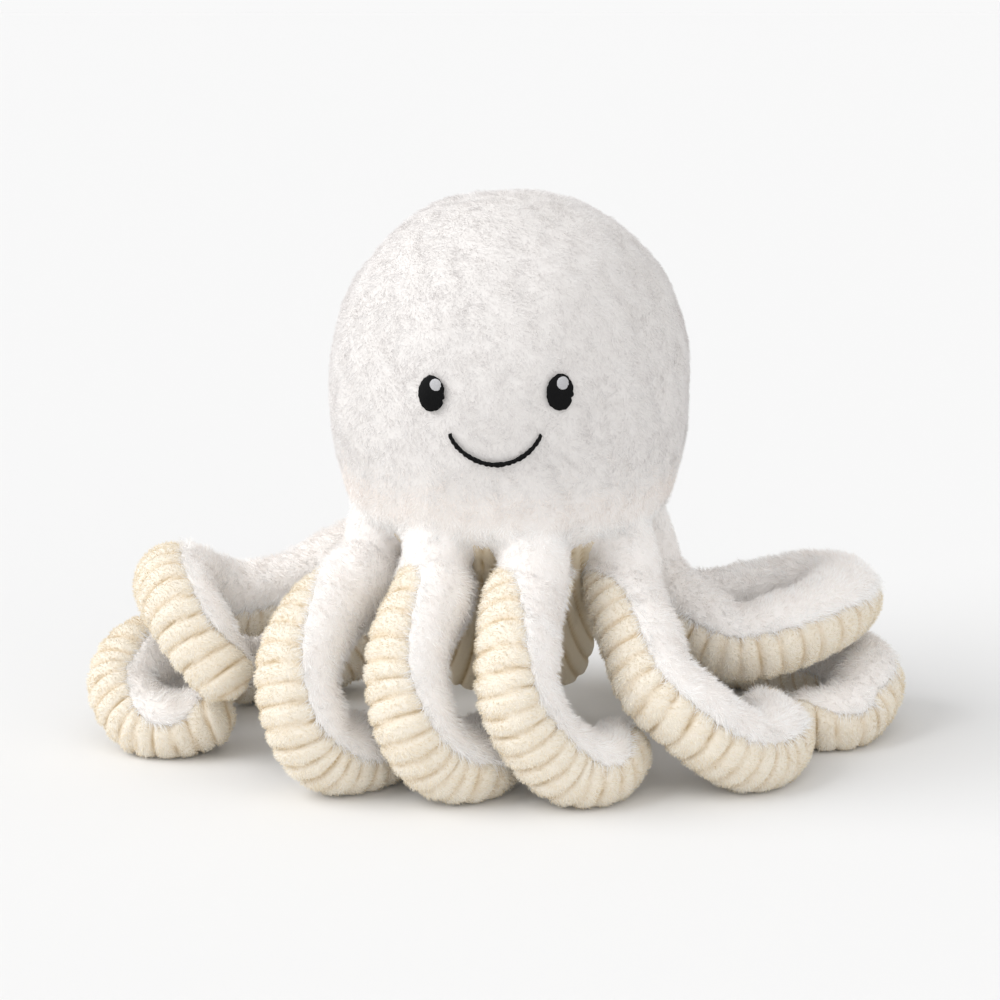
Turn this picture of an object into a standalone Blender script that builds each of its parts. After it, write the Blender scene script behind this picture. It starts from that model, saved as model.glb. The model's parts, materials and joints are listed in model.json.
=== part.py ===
"""Plush octopus: a stuffed head and eight stuffed arms that curl on the surface they stand on.

Metres, +Z up. The toy faces -Y, +X is the right side of the picture, and the origin is on the
floor under the middle of the toy's outline.

The white cover is a turned shell that is open below, where a ribbed base panel closes it. Each
arm is a tube of two sewn halves, plush on top and ribbed fabric underneath, round a core of
filling. It starts as a ball that sits in a dish in the body, so it can swing there.
"""

import math

import bmesh
import bpy
from mathutils import Matrix, Vector

# Head and body, all measured from the toy's own upright axis.
HEAD_RADIUS = 0.1050
HEAD_TOP = 0.3300
HEAD_WIDEST = 0.2180
HEAD_TUCK = 0.1440
NECK_HEIGHT = 0.1500
COVER_WALL = 0.0030
DOME_FULLNESS = 2.15
DOME_POINTS = 7
CHEEK_POINTS = 3
BODY_RADIUS = 0.0660
RIM_RADIUS = 0.0440
RIM_HEIGHT = 0.0420
HEAD_STEPS = 24

# Under the head: distances as shares of BODY_RADIUS, and heights as shares of the way up from
# the rim to the neck. The cover ends at its last row, where the base panel starts.
UNDERBODY_SHARES = (
    (1.27, 0.927),
    (1.13, 0.896),
    (1.02, 0.846),
    (0.95, 0.71),
    (0.84, 0.456),
)
PANEL_SIDE_SHARES = (
    (0.84, 0.456),
    (0.76, 0.20),
)

# Base panel: the ribbed bowl that closes the opening.
PANEL_WALL = 0.0030
PANEL_SAG = 0.0100
PANEL_POINTS = 3

# Arms.
ARM_COUNT = 8
ARM_TURN = 10.8
ARM_LENGTH = 0.2500
ARM_THICKNESS = 0.0430
ARM_ROOT = 0.0400
ARM_TIP = 0.0345
ARM_WALL = 0.0025
ROOT_HEIGHT = 0.1160
ROOT_STANDOFF = 0.0100
SWELL_SHARE = 0.18
TAPER_SHARE = 0.30
ROOT_OPENING = 25.0
ROOT_CLOSING = (75.0, 50.0)
TIP_ROUNDING = (30.0, 58.0, 86.0)
RING_SPACING = 0.0410
BEND_REACH = 0.0500
TWIST_REACH = 0.0200
HALF_SEGMENTS = 5
CURVE_SAMPLES = 24

# Clearances, and how the pieces are cut and shaded.
FABRIC_GAP = 0.0003
SEAM_GAP = 0.0006
STITCH_LIFT = 0.0006
SEAT_CLEARANCE = 0.0010
FLAT_DEPTH = 0.0005
OVERRUN = 0.0100
MERGE_DISTANCE = 0.00001
CREASE_ANGLE = 50.0
SEAT_STEPS = 18
SEAT_RINGS = 9

# Face. Angles are turns about the toy's axis, plus to the right.
FACE_TURN = -4.6
EYE_TURN = 20.0
EYE_HEIGHT = 0.2290
EYE_WIDTH = 0.0152
EYE_TALL = 0.0210
HIGHLIGHT_WIDTH = 0.0068
HIGHLIGHT_SHARES = (0.16, 0.24)
SMILE_WIDTH = 0.0500
SMILE_DROP = 0.0165
SMILE_HEIGHT = 0.1895
SMILE_LINE = 0.0026
STITCH_WALL = 0.0009
PATCH_CELLS = 5
SMILE_STEPS = 16

# Where each arm's centre line runs from its root. Across is to the right and ahead is to the
# front, both as shares of ARM_LENGTH. Rise is the share of the way up from lying on the floor to
# the root's height. The last three numbers point to the plush side: across, ahead and up.
ARM_PATH_SHARES = (
    (
        (-0.10, -0.09, 0.64, 0.0, -0.1, 1.0),
        (-0.23, -0.11, 0.30, 0.1, -0.35, 0.95),
        (-0.41, -0.07, 0.05, 0.2, -0.35, 0.9),
        (-0.59, 0.03, 0.04, 0.45, -0.1, 0.85),
        (-0.74, 0.15, 0.16, 0.75, 0.3, 0.3),
        (-0.83, 0.28, 0.31, 0.9, -0.05, -0.35),
        (-0.87, 0.36, 0.18, 0.95, -0.35, 0.05),
        (-0.82, 0.43, 0.01, 0.6, -0.45, 0.65),
        (-0.74, 0.45, -0.02, 0.1, -0.2, 1.0),
        (-0.67, 0.44, 0.03, -0.3, -0.1, 1.0),
    ),
    (
        (-0.18, 0.01, 0.79, 0.0, 0.0, 1.0),
        (-0.29, 0.05, 0.66, 0.0, 0.0, 1.0),
        (-0.41, 0.08, 0.63, 0.5, 0.0, 0.85),
        (-0.50, 0.13, 0.73, 0.9, 0.0, 0.3),
        (-0.55, 0.23, 0.84, 0.95, -0.1, -0.25),
        (-0.52, 0.35, 0.77, 0.85, -0.5, -0.1),
        (-0.47, 0.40, 0.58, 0.75, -0.65, 0.1),
        (-0.42, 0.42, 0.41, 0.7, -0.65, 0.3),
    ),
    (
        (-0.07, 0.14, 0.88, 0.7, 0.15, 0.75),
        (-0.14, 0.27, 0.77, 0.95, 0.1, 0.0),
        (-0.18, 0.36, 0.57, 1.0, -0.2, -0.1),
        (-0.17, 0.40, 0.33, 0.9, -0.45, 0.15),
        (-0.13, 0.39, 0.10, 0.45, -0.6, 0.65),
        (-0.06, 0.34, 0.00, 0.1, -0.25, 1.0),
        (0.01, 0.27, 0.00, -0.2, 0.1, 1.0),
        (0.06, 0.19, 0.05, -0.4, 0.1, 0.9),
    ),
    (
        (-0.01, 0.10, 0.92, 0.95, 0.2, 0.15),
        (-0.05, 0.19, 0.74, 1.0, 0.05, -0.1),
        (-0.06, 0.23, 0.53, 1.0, -0.2, 0.0),
        (-0.04, 0.26, 0.29, 0.8, -0.55, 0.3),
        (0.01, 0.24, 0.08, 0.4, -0.6, 0.7),
        (0.08, 0.20, 0.00, 0.0, -0.3, 1.0),
        (0.14, 0.10, 0.01, -0.2, 0.1, 1.0),
        (0.18, 0.00, 0.06, -0.3, 0.2, 1.0),
    ),
    (
        (-0.03, 0.09, 0.92, 1.0, 0.1, 0.1),
        (-0.04, 0.18, 0.74, 1.0, -0.2, -0.1),
        (-0.04, 0.23, 0.50, 0.85, -0.55, 0.05),
        (0.00, 0.23, 0.25, 0.55, -0.7, 0.4),
        (0.07, 0.21, 0.05, 0.2, -0.65, 0.7),
        (0.14, 0.18, -0.01, -0.1, -0.3, 0.95),
        (0.19, 0.11, 0.02, -0.4, 0.1, 1.0),
    ),
    (
        (0.02, 0.09, 0.82, 0.9, -0.1, 0.35),
        (0.05, 0.18, 0.64, 0.95, -0.2, 0.3),
        (0.08, 0.25, 0.46, 0.8, -0.5, 0.6),
        (0.15, 0.27, 0.30, 0.5, -0.5, 0.8),
        (0.23, 0.26, 0.12, 0.2, -0.5, 0.9),
        (0.31, 0.21, 0.00, -0.2, -0.55, 0.85),
        (0.37, 0.11, 0.01, -0.5, -0.2, 0.9),
        (0.35, 0.01, 0.05, -0.3, -0.1, 1.0),
    ),
    (
        (0.06, 0.02, 0.72, 0.3, -0.2, 1.0),
        (0.14, 0.09, 0.57, 0.2, -0.4, 0.95),
        (0.24, 0.14, 0.46, 0.1, -0.45, 0.95),
        (0.36, 0.13, 0.52, -0.1, -0.45, 0.95),
        (0.47, 0.06, 0.60, -0.25, -0.35, 1.0),
        (0.53, -0.07, 0.63, -0.35, -0.1, 1.0),
        (0.47, -0.18, 0.60, -0.1, -0.1, 1.0),
        (0.36, -0.20, 0.54, 0.0, 0.0, 1.0),
        (0.26, -0.18, 0.52, 0.0, 0.1, 1.0),
        (0.18, -0.15, 0.53, 0.0, 0.1, 1.0),
    ),
    (
        (0.07, -0.15, 0.50, 0.0, 0.0, 1.0),
        (0.23, -0.20, 0.21, 0.0, 0.0, 1.0),
        (0.41, -0.15, 0.05, 0.0, 0.0, 1.0),
        (0.58, -0.04, 0.05, 0.0, 0.0, 1.0),
        (0.68, 0.07, 0.11, -0.35, -0.1, 0.95),
        (0.71, 0.20, 0.10, -0.6, -0.1, 0.8),
        (0.67, 0.29, 0.00, -0.4, -0.45, 0.8),
        (0.62, 0.34, -0.03, 0.0, -0.3, 0.95),
        (0.55, 0.35, -0.03, 0.1, -0.1, 1.0),
    ),
)

PLUSH_WHITE = "E9E4E0"
RIBBED_CREAM = "EBDDBE"
FILLING_WHITE = "F4F3F0"
THREAD_BLACK = "141312"
THREAD_GREY = "C9C9CB"


def clear_scene():
    """Removes every object, so the script gives the same model in any file."""
    for obj in list(bpy.data.objects):
        bpy.data.objects.remove(obj, do_unlink=True)


def make_collection(name):
    """Makes a collection in the scene."""
    collection = bpy.data.collections.new(name)
    bpy.context.scene.collection.children.link(collection)
    return collection


def make_material(name, colour, roughness):
    """Makes a Principled material from an sRGB hex colour."""
    material = bpy.data.materials.new(name)
    material.use_nodes = True
    shader = material.node_tree.nodes["Principled BSDF"]
    channels = [int(colour[i:i + 2], 16) / 255 for i in (0, 2, 4)]
    linear = [c / 12.92 if c <= 0.04045 else ((c + 0.055) / 1.055) ** 2.4 for c in channels]
    shader.inputs["Base Color"].default_value = (*linear, 1.0)
    shader.inputs["Roughness"].default_value = roughness
    shader.inputs["Metallic"].default_value = 0.0
    material.diffuse_color = (*linear, 1.0)
    return material


def add_object(name, mesh, collection, material, parent):
    """Adds a mesh to the scene under its parent, shaded smooth with crisp edges at seams."""
    obj = bpy.data.objects.new(name, mesh)
    collection.objects.link(obj)
    obj.parent = parent
    if material:
        mesh.materials.append(material)
    mesh.shade_smooth()
    mesh.set_sharp_from_angle(angle=math.radians(CREASE_ANGLE))
    return obj


def cut(obj, cutter):
    """Takes the cutter's shape out of an object."""
    modifier = obj.modifiers.new("cut_" + cutter.name, "BOOLEAN")
    modifier.operation = "DIFFERENCE"
    modifier.object = cutter


def hide_cutter(obj):
    """Marks an object as a tool that is not part of the toy."""
    obj.hide_render = True
    obj.display_type = "WIRE"


def turned(name, profile, steps, collection, material, parent):
    """Turns a profile about the toy's axis. It runs down its outer side, top to bottom."""
    mesh = bpy.data.meshes.new(name)
    closed = profile[0][0] > 0
    edges = [(i, i + 1) for i in range(len(profile) - 1)]
    if closed:
        edges.append((len(profile) - 1, 0))
    mesh.from_pydata([(radius, 0.0, height) for radius, height in profile], edges, [])
    obj = add_object(name, mesh, collection, material, parent)
    screw = obj.modifiers.new("turn", "SCREW")
    screw.steps = steps
    screw.render_steps = steps
    screw.use_merge_vertices = True
    screw.merge_threshold = MERGE_DISTANCE
    screw.use_smooth_shade = True
    return obj


def body_outline():
    """Gives the cover's outer side from the top of the head down to its lower edge."""
    points = []
    power = 2 / DOME_FULLNESS
    for i in range(DOME_POINTS + 1):
        angle = math.radians(90.0) * (1 - i / DOME_POINTS)
        radius = HEAD_RADIUS * math.cos(angle) ** power if i else 0.0
        height = HEAD_WIDEST + (HEAD_TOP - HEAD_WIDEST) * math.sin(angle) ** power
        points.append((radius, height))
    for i in range(1, CHEEK_POINTS + 1):
        drop = (HEAD_WIDEST - NECK_HEIGHT) * i / CHEEK_POINTS
        points.append((HEAD_RADIUS * math.sqrt(1 - (drop / HEAD_TUCK) ** 2), HEAD_WIDEST - drop))
    return points + under_points(UNDERBODY_SHARES)


def under_points(shares):
    """Gives points under the neck from their shares."""
    rise = NECK_HEIGHT - RIM_HEIGHT
    return [(out * BODY_RADIUS, RIM_HEIGHT + up * rise) for out, up in shares]


def panel_outline():
    """Gives the base panel's outer side from the cover's edge to the middle underneath."""
    points = under_points(PANEL_SIDE_SHARES)
    for i in range(PANEL_POINTS + 1):
        share = i / PANEL_POINTS
        sag = PANEL_SAG * math.sin(math.radians(90.0) * share)
        points.append((RIM_RADIUS * (1 - share), RIM_HEIGHT - sag))
    return points


def inset(profile, depth):
    """Moves an outline inwards, square to itself, and keeps points on the axis there."""
    moved = []
    for i, (radius, height) in enumerate(profile):
        before = Vector(profile[max(i - 1, 0)])
        after = Vector(profile[min(i + 1, len(profile) - 1)])
        along = (after - before).normalized()
        if radius == 0:
            moved.append((0.0, height + depth if i else height - depth))
        else:
            moved.append((radius + depth * along.y, height - depth * along.x))
    return moved


def smooth_point(before, start, end, after, share):
    """Gives a point between start and end on a curve that passes through all its points."""
    square = share * share
    cube = square * share
    return (
        start * 2
        + (end - before) * share
        + (before * 2 - start * 5 + end * 4 - after) * square
        + (start * 3 - before - end * 3 + after) * cube
    ) / 2


def smooth_curve(points):
    """Samples the curve through the points."""
    run = [points[0] * 2 - points[1], *points, points[-1] * 2 - points[-2]]
    curve = []
    for i in range(1, len(run) - 2):
        for k in range(CURVE_SAMPLES):
            curve.append(smooth_point(*run[i - 1:i + 3], k / CURVE_SAMPLES))
    curve.append(points[-1])
    return curve


def arm_root(number):
    """Gives the point where an arm swings, and the way out from the body there."""
    turn = math.radians(ARM_TURN + 360.0 / ARM_COUNT * (number - 5))
    outward = Vector((math.sin(turn), -math.cos(turn), 0.0))
    reach = BODY_RADIUS + ROOT_STANDOFF
    return outward * reach + Vector((0.0, 0.0, ROOT_HEIGHT)), outward


def arm_radius(share):
    """Gives the arm's radius at a share of its length: it swells from the root, then tapers."""
    full = ARM_THICKNESS / 2
    if share < SWELL_SHARE:
        return full + (ARM_ROOT / 2 - full) * (1 - share / SWELL_SHARE) ** 2
    if share > 1 - TAPER_SHARE:
        return full + (ARM_TIP / 2 - full) * ((share - 1 + TAPER_SHARE) / TAPER_SHARE) ** 2
    return full


def arm_centre_line(number):
    """Gives an arm's stations: place, heading, plush side and share of its length.

    They lie closer together where the arm bends or twists.
    """
    root = arm_root(number)[0]
    lying = ARM_THICKNESS / 2 * math.cos(math.pi / HALF_SEGMENTS / 2) - FLAT_DEPTH
    places = [root.copy()]
    plush_sides = [Vector((0.0, 0.0, 1.0))]
    for across, ahead, rise, side_across, side_ahead, side_up in ARM_PATH_SHARES[number - 1]:
        height = lying + rise * (ROOT_HEIGHT - lying)
        places.append(Vector((root.x + across * ARM_LENGTH, root.y - ahead * ARM_LENGTH, height)))
        plush_sides.append(Vector((side_across, -side_ahead, side_up)).normalized())
    curve = smooth_curve(places)
    sides = smooth_curve(plush_sides)
    last = len(curve) - 1
    headings = []
    for i in range(last + 1):
        headings.append((curve[min(i + 1, last)] - curve[max(i - 1, 0)]).normalized())
    length = [0.0]
    effort = [0.0]
    for i in range(1, last + 1):
        step = (curve[i] - curve[i - 1]).length
        length.append(length[-1] + step)
        bend = headings[i].angle(headings[i - 1])
        twist = sides[i].angle(sides[i - 1])
        effort.append(effort[-1] + step + BEND_REACH * bend + TWIST_REACH * twist)
    count = math.ceil(effort[-1] / RING_SPACING)
    stations = []
    i = 0
    for ring in range(count + 1):
        target = effort[-1] * ring / count
        while i < last - 1 and effort[i + 1] < target:
            i += 1
        part = (target - effort[i]) / (effort[i + 1] - effort[i])
        place = curve[i].lerp(curve[i + 1], part)
        heading = headings[i].lerp(headings[i + 1], part).normalized()
        share = (length[i] + part * (length[i + 1] - length[i])) / length[-1]
        stations.append((place, heading, sides[i].lerp(sides[i + 1], part), share))
    return stations


def arm_rings(number, depth, root_angles):
    """Gives the rings of a tube that lies a depth below the arm's surface.

    Each ring has its centre, its plush side, the way across and its radius. The root angles
    round the ball at the root, and both ends stay round at any depth.
    """
    stations = arm_centre_line(number)
    rings = []
    for angle in root_angles:
        place, heading, side = stations[0][:3]
        ball = arm_radius(0.0) - depth
        centre = place - heading * ball * math.sin(math.radians(angle))
        rings.append((centre, heading, side, ball * math.cos(math.radians(angle))))
    for place, heading, side, share in stations:
        rings.append((place, heading, side, arm_radius(share) - depth))
    for angle in TIP_ROUNDING:
        place, heading, side = stations[-1][:3]
        ball = arm_radius(1.0) - depth
        centre = place + heading * ball * math.sin(math.radians(angle))
        rings.append((centre, heading, side, ball * math.cos(math.radians(angle))))
    framed = []
    for centre, heading, side, radius in rings:
        up = (side - heading * side.dot(heading)).normalized()
        framed.append((centre, up, heading.cross(up), radius))
    return framed


def arc(ring, half, lift):
    """Gives the points round one half of a ring, from one seam to the other."""
    centre, up, across, radius = ring
    points = []
    for i in range(HALF_SEGMENTS + 1):
        angle = math.pi * (i / HALF_SEGMENTS - 1 / 2)
        point = centre + across * (radius * math.sin(angle)) + up * (half * radius * math.cos(angle))
        points.append(point + up * (half * lift))
    return points


def loft(name, loops, origin):
    """Joins loops of equal count into a closed skin with a flat face at each end.

    Each square is split along its shorter diagonal, so skins that lie close do not meet.
    """
    mesh = bpy.data.meshes.new(name)
    shape = bmesh.new()
    rows = [[shape.verts.new(point - origin) for point in loop] for loop in loops]
    count = len(rows[0])
    for near, far in zip(rows, rows[1:]):
        for i in range(count):
            k = (i + 1) % count
            if (near[i].co - far[k].co).length < (near[k].co - far[i].co).length:
                shape.faces.new((near[i], near[k], far[k]))
                shape.faces.new((near[i], far[k], far[i]))
            else:
                shape.faces.new((near[i], near[k], far[i]))
                shape.faces.new((near[k], far[k], far[i]))
    shape.faces.new(list(reversed(rows[0])))
    shape.faces.new(rows[-1])
    bmesh.ops.recalc_face_normals(shape, faces=shape.faces)
    shape.to_mesh(mesh)
    shape.free()
    return mesh


def half_shell(name, number, half, origin):
    """Makes one sewn half of an arm's cover: half is 1 for the plush top, -1 for the ribs."""
    outer = arm_rings(number, 0.0, (ROOT_OPENING,))
    inner = arm_rings(number, ARM_WALL, (ROOT_OPENING,))
    loops = []
    for outside, inside in zip(outer, inner):
        loop = arc(outside, half, SEAM_GAP / 2)
        loop.extend(reversed(arc(inside, half, SEAM_GAP / 2)))
        loops.append(loop)
    return loft(name, loops, origin)


def filling_core(name, number, origin):
    """Makes the filling inside an arm, round at both ends."""
    loops = []
    depth = ARM_WALL + FABRIC_GAP * 2
    for ring in arm_rings(number, depth, (*ROOT_CLOSING, ROOT_OPENING)):
        upper = arc(ring, 1, 0.0)
        lower = arc(ring, -1, 0.0)
        loops.append(upper + lower[-2:0:-1])
    return loft(name, loops, origin)


def footprint_centre():
    """Gives the middle of the arms' outline seen from above."""
    low = Vector((math.inf, math.inf))
    high = -low
    for number in range(1, ARM_COUNT + 1):
        for ring in arm_rings(number, 0.0, (ROOT_OPENING,)):
            for point in arc(ring, 1, 0.0) + arc(ring, -1, 0.0):
                low = Vector((min(low.x, point.x), min(low.y, point.y)))
                high = Vector((max(high.x, point.x), max(high.y, point.y)))
    return (low + high) / 2


def make_cutters(collection, toy):
    """Makes the seats' balls, one for each arm, and the floor that cuts the arms flat."""
    seats = []
    for number in range(1, ARM_COUNT + 1):
        root, outward = arm_root(number)
        mesh = bpy.data.meshes.new(f"seat_{number}")
        shape = bmesh.new()
        bmesh.ops.create_uvsphere(
            shape, u_segments=SEAT_STEPS, v_segments=SEAT_RINGS, radius=ARM_ROOT / 2 + SEAT_CLEARANCE
        )
        lean = outward.to_track_quat("Z", "Y").to_matrix()
        bmesh.ops.rotate(shape, verts=shape.verts, matrix=lean)
        shape.to_mesh(mesh)
        shape.free()
        seat = add_object(f"seat_{number}", mesh, collection, None, toy)
        seat.location = root
        hide_cutter(seat)
        seats.append(seat)
    mesh = bpy.data.meshes.new("floor_slab")
    shape = bmesh.new()
    bmesh.ops.create_cube(shape, size=1.0)
    bmesh.ops.scale(shape, verts=shape.verts, vec=(ARM_LENGTH * 4, ARM_LENGTH * 4, OVERRUN))
    bmesh.ops.translate(shape, verts=shape.verts, vec=(0.0, 0.0, -OVERRUN / 2))
    shape.to_mesh(mesh)
    shape.free()
    floor = add_object("floor_slab", mesh, collection, None, toy)
    hide_cutter(floor)
    return seats, floor


def make_body(parts, materials, seats, toy):
    """Makes the head's cover, its filling and the base panel that closes it."""
    outline = body_outline()
    inner = inset(outline, COVER_WALL)
    cover = turned("head_cover", outline + inner[::-1], HEAD_STEPS, parts, materials["plush"], toy)
    underneath = panel_outline()
    packed = inset(outline + underneath[1:], COVER_WALL + FABRIC_GAP)
    filling = turned("head_filling", packed, HEAD_STEPS, parts, materials["filling"], toy)
    for seat in seats:
        cut(cover, seat)
        cut(filling, seat)
    edge_radius, edge_height = underneath[0]
    underneath[0] = (edge_radius, edge_height - FABRIC_GAP)
    panel = [*reversed(inset(underneath, PANEL_WALL)), *underneath]
    turned("base_panel", panel, HEAD_STEPS, parts, materials["ribs"], toy)
    return cover


def make_arm(number, parts, materials, floor, toy):
    """Makes one arm's two cover halves and its filling, under an empty on its swinging axis."""
    root = arm_root(number)[0]
    hinge = bpy.data.objects.new(f"arm_{number}_hinge", None)
    parts.objects.link(hinge)
    hinge.parent = toy
    hinge.location = root
    for side, half, finish in (("top", 1, "plush"), ("underside", -1, "ribs")):
        name = f"arm_{number}_{side}"
        shell = half_shell(name, number, half, root)
        cut(add_object(name, shell, parts, materials[finish], hinge), floor)
    name = f"arm_{number}_filling"
    add_object(name, filling_core(name, number, root), parts, materials["filling"], hinge)


def oval(name, width, tall):
    """Makes a flat oval of small faces that can follow a curved cover."""
    mesh = bpy.data.meshes.new(name)
    shape = bmesh.new()
    bmesh.ops.create_grid(shape, x_segments=PATCH_CELLS, y_segments=PATCH_CELLS, size=1.0)
    for vert in shape.verts:
        x, y = vert.co.x, vert.co.y
        vert.co.x = width / 2 * x * math.sqrt(1 - y * y / 2)
        vert.co.y = tall / 2 * y * math.sqrt(1 - x * x / 2)
    shape.to_mesh(mesh)
    shape.free()
    return mesh


def smile_strip(name):
    """Makes the flat curved strip of the smile, widest in the middle."""
    mesh = bpy.data.meshes.new(name)
    shape = bmesh.new()
    bmesh.ops.create_grid(shape, x_segments=SMILE_STEPS, y_segments=2, size=1.0)
    for vert in shape.verts:
        share, side = vert.co.x, vert.co.y
        slope = 2 * share * SMILE_DROP / (SMILE_WIDTH / 2)
        lean = math.hypot(1.0, slope)
        half_line = SMILE_LINE / 2 * side
        vert.co.x = share * SMILE_WIDTH / 2 - half_line * slope / lean
        vert.co.y = share * share * SMILE_DROP + half_line / lean
    shape.to_mesh(mesh)
    shape.free()
    return mesh


def sew_on(name, mesh, turn, height, lift, cover, parts, material, toy):
    """Lays a flat patch on the cover, at a turn about the axis and a height, and thickens it."""
    around = math.radians(FACE_TURN + turn)
    stand = Matrix.Rotation(around, 4, "Z") @ Matrix.Rotation(math.pi / 2, 4, "X")
    stand.translation = Vector((0.0, 0.0, height)) + Vector(
        (math.sin(around), -math.cos(around), 0.0)
    ) * (HEAD_RADIUS + OVERRUN)
    mesh.transform(stand)
    patch = add_object(name, mesh, parts, material, toy)
    wrap = patch.modifiers.new("lay", "SHRINKWRAP")
    wrap.target = cover
    wrap.wrap_method = "TARGET_PROJECT"
    wrap.wrap_mode = "ABOVE_SURFACE"
    wrap.offset = lift
    wall = patch.modifiers.new("thread", "SOLIDIFY")
    wall.thickness = STITCH_WALL
    wall.offset = 1.0
    return patch


def make_face(cover, parts, materials, toy):
    """Makes the embroidered eyes, their highlights and the smile."""
    above = STITCH_LIFT + STITCH_WALL + FABRIC_GAP * 2
    across, up = HIGHLIGHT_SHARES
    for side, turn in (("left", -EYE_TURN), ("right", EYE_TURN)):
        name = f"eye_{side}"
        mesh = oval(name, EYE_WIDTH, EYE_TALL)
        sew_on(name, mesh, turn, EYE_HEIGHT, STITCH_LIFT, cover, parts, materials["black"], toy)
        name = f"eye_highlight_{side}"
        mesh = oval(name, HIGHLIGHT_WIDTH, HIGHLIGHT_WIDTH)
        mesh.transform(Matrix.Translation((across * EYE_WIDTH, up * EYE_TALL, 0.0)))
        sew_on(name, mesh, turn, EYE_HEIGHT, above, cover, parts, materials["grey"], toy)
    mesh = smile_strip("smile")
    sew_on("smile", mesh, 0.0, SMILE_HEIGHT, STITCH_LIFT, cover, parts, materials["black"], toy)


def main():
    """Builds the toy."""
    clear_scene()
    parts = make_collection("plush_octopus")
    cutters = make_collection("cutters")
    materials = {
        "plush": make_material("white_plush", PLUSH_WHITE, 0.95),
        "ribs": make_material("ribbed_cream_plush", RIBBED_CREAM, 0.9),
        "filling": make_material("fibre_filling", FILLING_WHITE, 1.0),
        "black": make_material("black_thread", THREAD_BLACK, 0.5),
        "grey": make_material("grey_thread", THREAD_GREY, 0.5),
    }
    toy = bpy.data.objects.new("octopus", None)
    parts.objects.link(toy)
    centre = footprint_centre()
    toy.location = (-centre.x, -centre.y, 0.0)
    seats, floor = make_cutters(cutters, toy)
    cover = make_body(parts, materials, seats, toy)
    for number in range(1, ARM_COUNT + 1):
        make_arm(number, parts, materials, floor, toy)
    make_face(cover, parts, materials, toy)
    bpy.context.view_layer.update()


main()
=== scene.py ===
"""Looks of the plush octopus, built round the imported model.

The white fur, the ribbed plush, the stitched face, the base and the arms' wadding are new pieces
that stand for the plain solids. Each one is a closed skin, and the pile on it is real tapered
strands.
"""

import json
import logging
import math
from dataclasses import dataclass, field, replace
from enum import Enum
from typing import Callable, Dict, List, Optional, Sequence, Tuple

import bmesh
import bpy
import numpy as np
from mathutils import Matrix, Vector
from mathutils.bvhtree import BVHTree


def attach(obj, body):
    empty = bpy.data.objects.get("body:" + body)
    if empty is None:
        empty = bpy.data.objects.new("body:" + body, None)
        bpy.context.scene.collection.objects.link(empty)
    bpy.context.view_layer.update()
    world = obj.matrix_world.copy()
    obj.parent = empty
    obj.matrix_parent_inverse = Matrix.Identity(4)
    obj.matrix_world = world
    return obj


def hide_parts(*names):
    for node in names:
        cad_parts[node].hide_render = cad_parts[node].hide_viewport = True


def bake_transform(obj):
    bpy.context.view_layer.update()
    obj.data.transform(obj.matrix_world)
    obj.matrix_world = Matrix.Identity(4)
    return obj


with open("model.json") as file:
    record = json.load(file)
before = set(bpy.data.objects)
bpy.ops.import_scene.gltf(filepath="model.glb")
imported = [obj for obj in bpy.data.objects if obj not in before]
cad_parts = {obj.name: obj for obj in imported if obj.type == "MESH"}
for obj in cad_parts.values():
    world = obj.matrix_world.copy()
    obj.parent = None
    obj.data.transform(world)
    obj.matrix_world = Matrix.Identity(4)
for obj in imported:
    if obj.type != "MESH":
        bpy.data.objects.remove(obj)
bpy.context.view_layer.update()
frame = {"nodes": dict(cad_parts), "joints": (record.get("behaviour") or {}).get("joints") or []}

LOG = logging.getLogger("octopus")
MM = 0.001
MERGE = 0.00002
UP = Vector((0.0, 0.0, 1.0))

Array = np.ndarray
Material = bpy.types.Material
Mesh = bpy.types.Mesh
NodeTree = bpy.types.NodeTree
Object = bpy.types.Object
Socket = bpy.types.NodeSocket


class Slot(Enum):
    """Material slots of the record."""

    PLUSH = "white_plush"
    RIBS = "ribbed_cream_plush"
    FILLING = "fibre_filling"
    BLACK = "black_thread"
    GREY = "grey_thread"


def linear(colour: str) -> Tuple[float, float, float, float]:
    """Turns an sRGB hex colour to linear light.

    Args:
        colour: Six hex digits.

    Returns:
        Red, green, blue and full alpha.
    """
    channels = [int(colour[i:i + 2], 16) / 255 for i in (0, 2, 4)]
    light = [c / 12.92 if c <= 0.04045 else ((c + 0.055) / 1.055) ** 2.4 for c in channels]
    return (light[0], light[1], light[2], 1.0)


def unit(vectors: Array) -> Array:
    """Scales vectors to length one.

    Args:
        vectors: Rows of three numbers.

    Returns:
        The same rows at length one.
    """
    return vectors / np.maximum(np.linalg.norm(vectors, axis=-1, keepdims=True), 1e-12)


def smoothstep(low: float, high: float, value: Array) -> Array:
    """Rises smoothly from 0 at low to 1 at high.

    Args:
        low: Where the rise starts.
        high: Where it ends.
        value: Numbers to read it at.

    Returns:
        Shares from 0 to 1.
    """
    share = np.clip((value - low) / (high - low), 0.0, 1.0)
    return share * share * (3 - 2 * share)


class Drift:
    """Smooth random numbers over space, as a sum of plane waves."""

    def __init__(self, size: float, seed: int, waves: int = 18) -> None:
        """Draws the waves.

        Args:
            size: Length over which the numbers change, in metres.
            seed: Seed of the draw.
            waves: How many waves are added up.
        """
        draw = np.random.default_rng(seed)
        ways = unit(draw.normal(size=(waves, 3)))
        self.ways = ways * (2 * math.pi / (size * draw.uniform(0.7, 1.6, (waves, 1))))
        self.starts = draw.uniform(0, 2 * math.pi, waves)
        self.level = math.sqrt(2 / waves)

    def at(self, places: Array) -> Array:
        """Reads the numbers, which mostly lie between -2 and 2.

        Args:
            places: Rows of points.

        Returns:
            One number for each point.
        """
        return np.sin(places @ self.ways.T + self.starts).sum(1) * self.level


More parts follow.
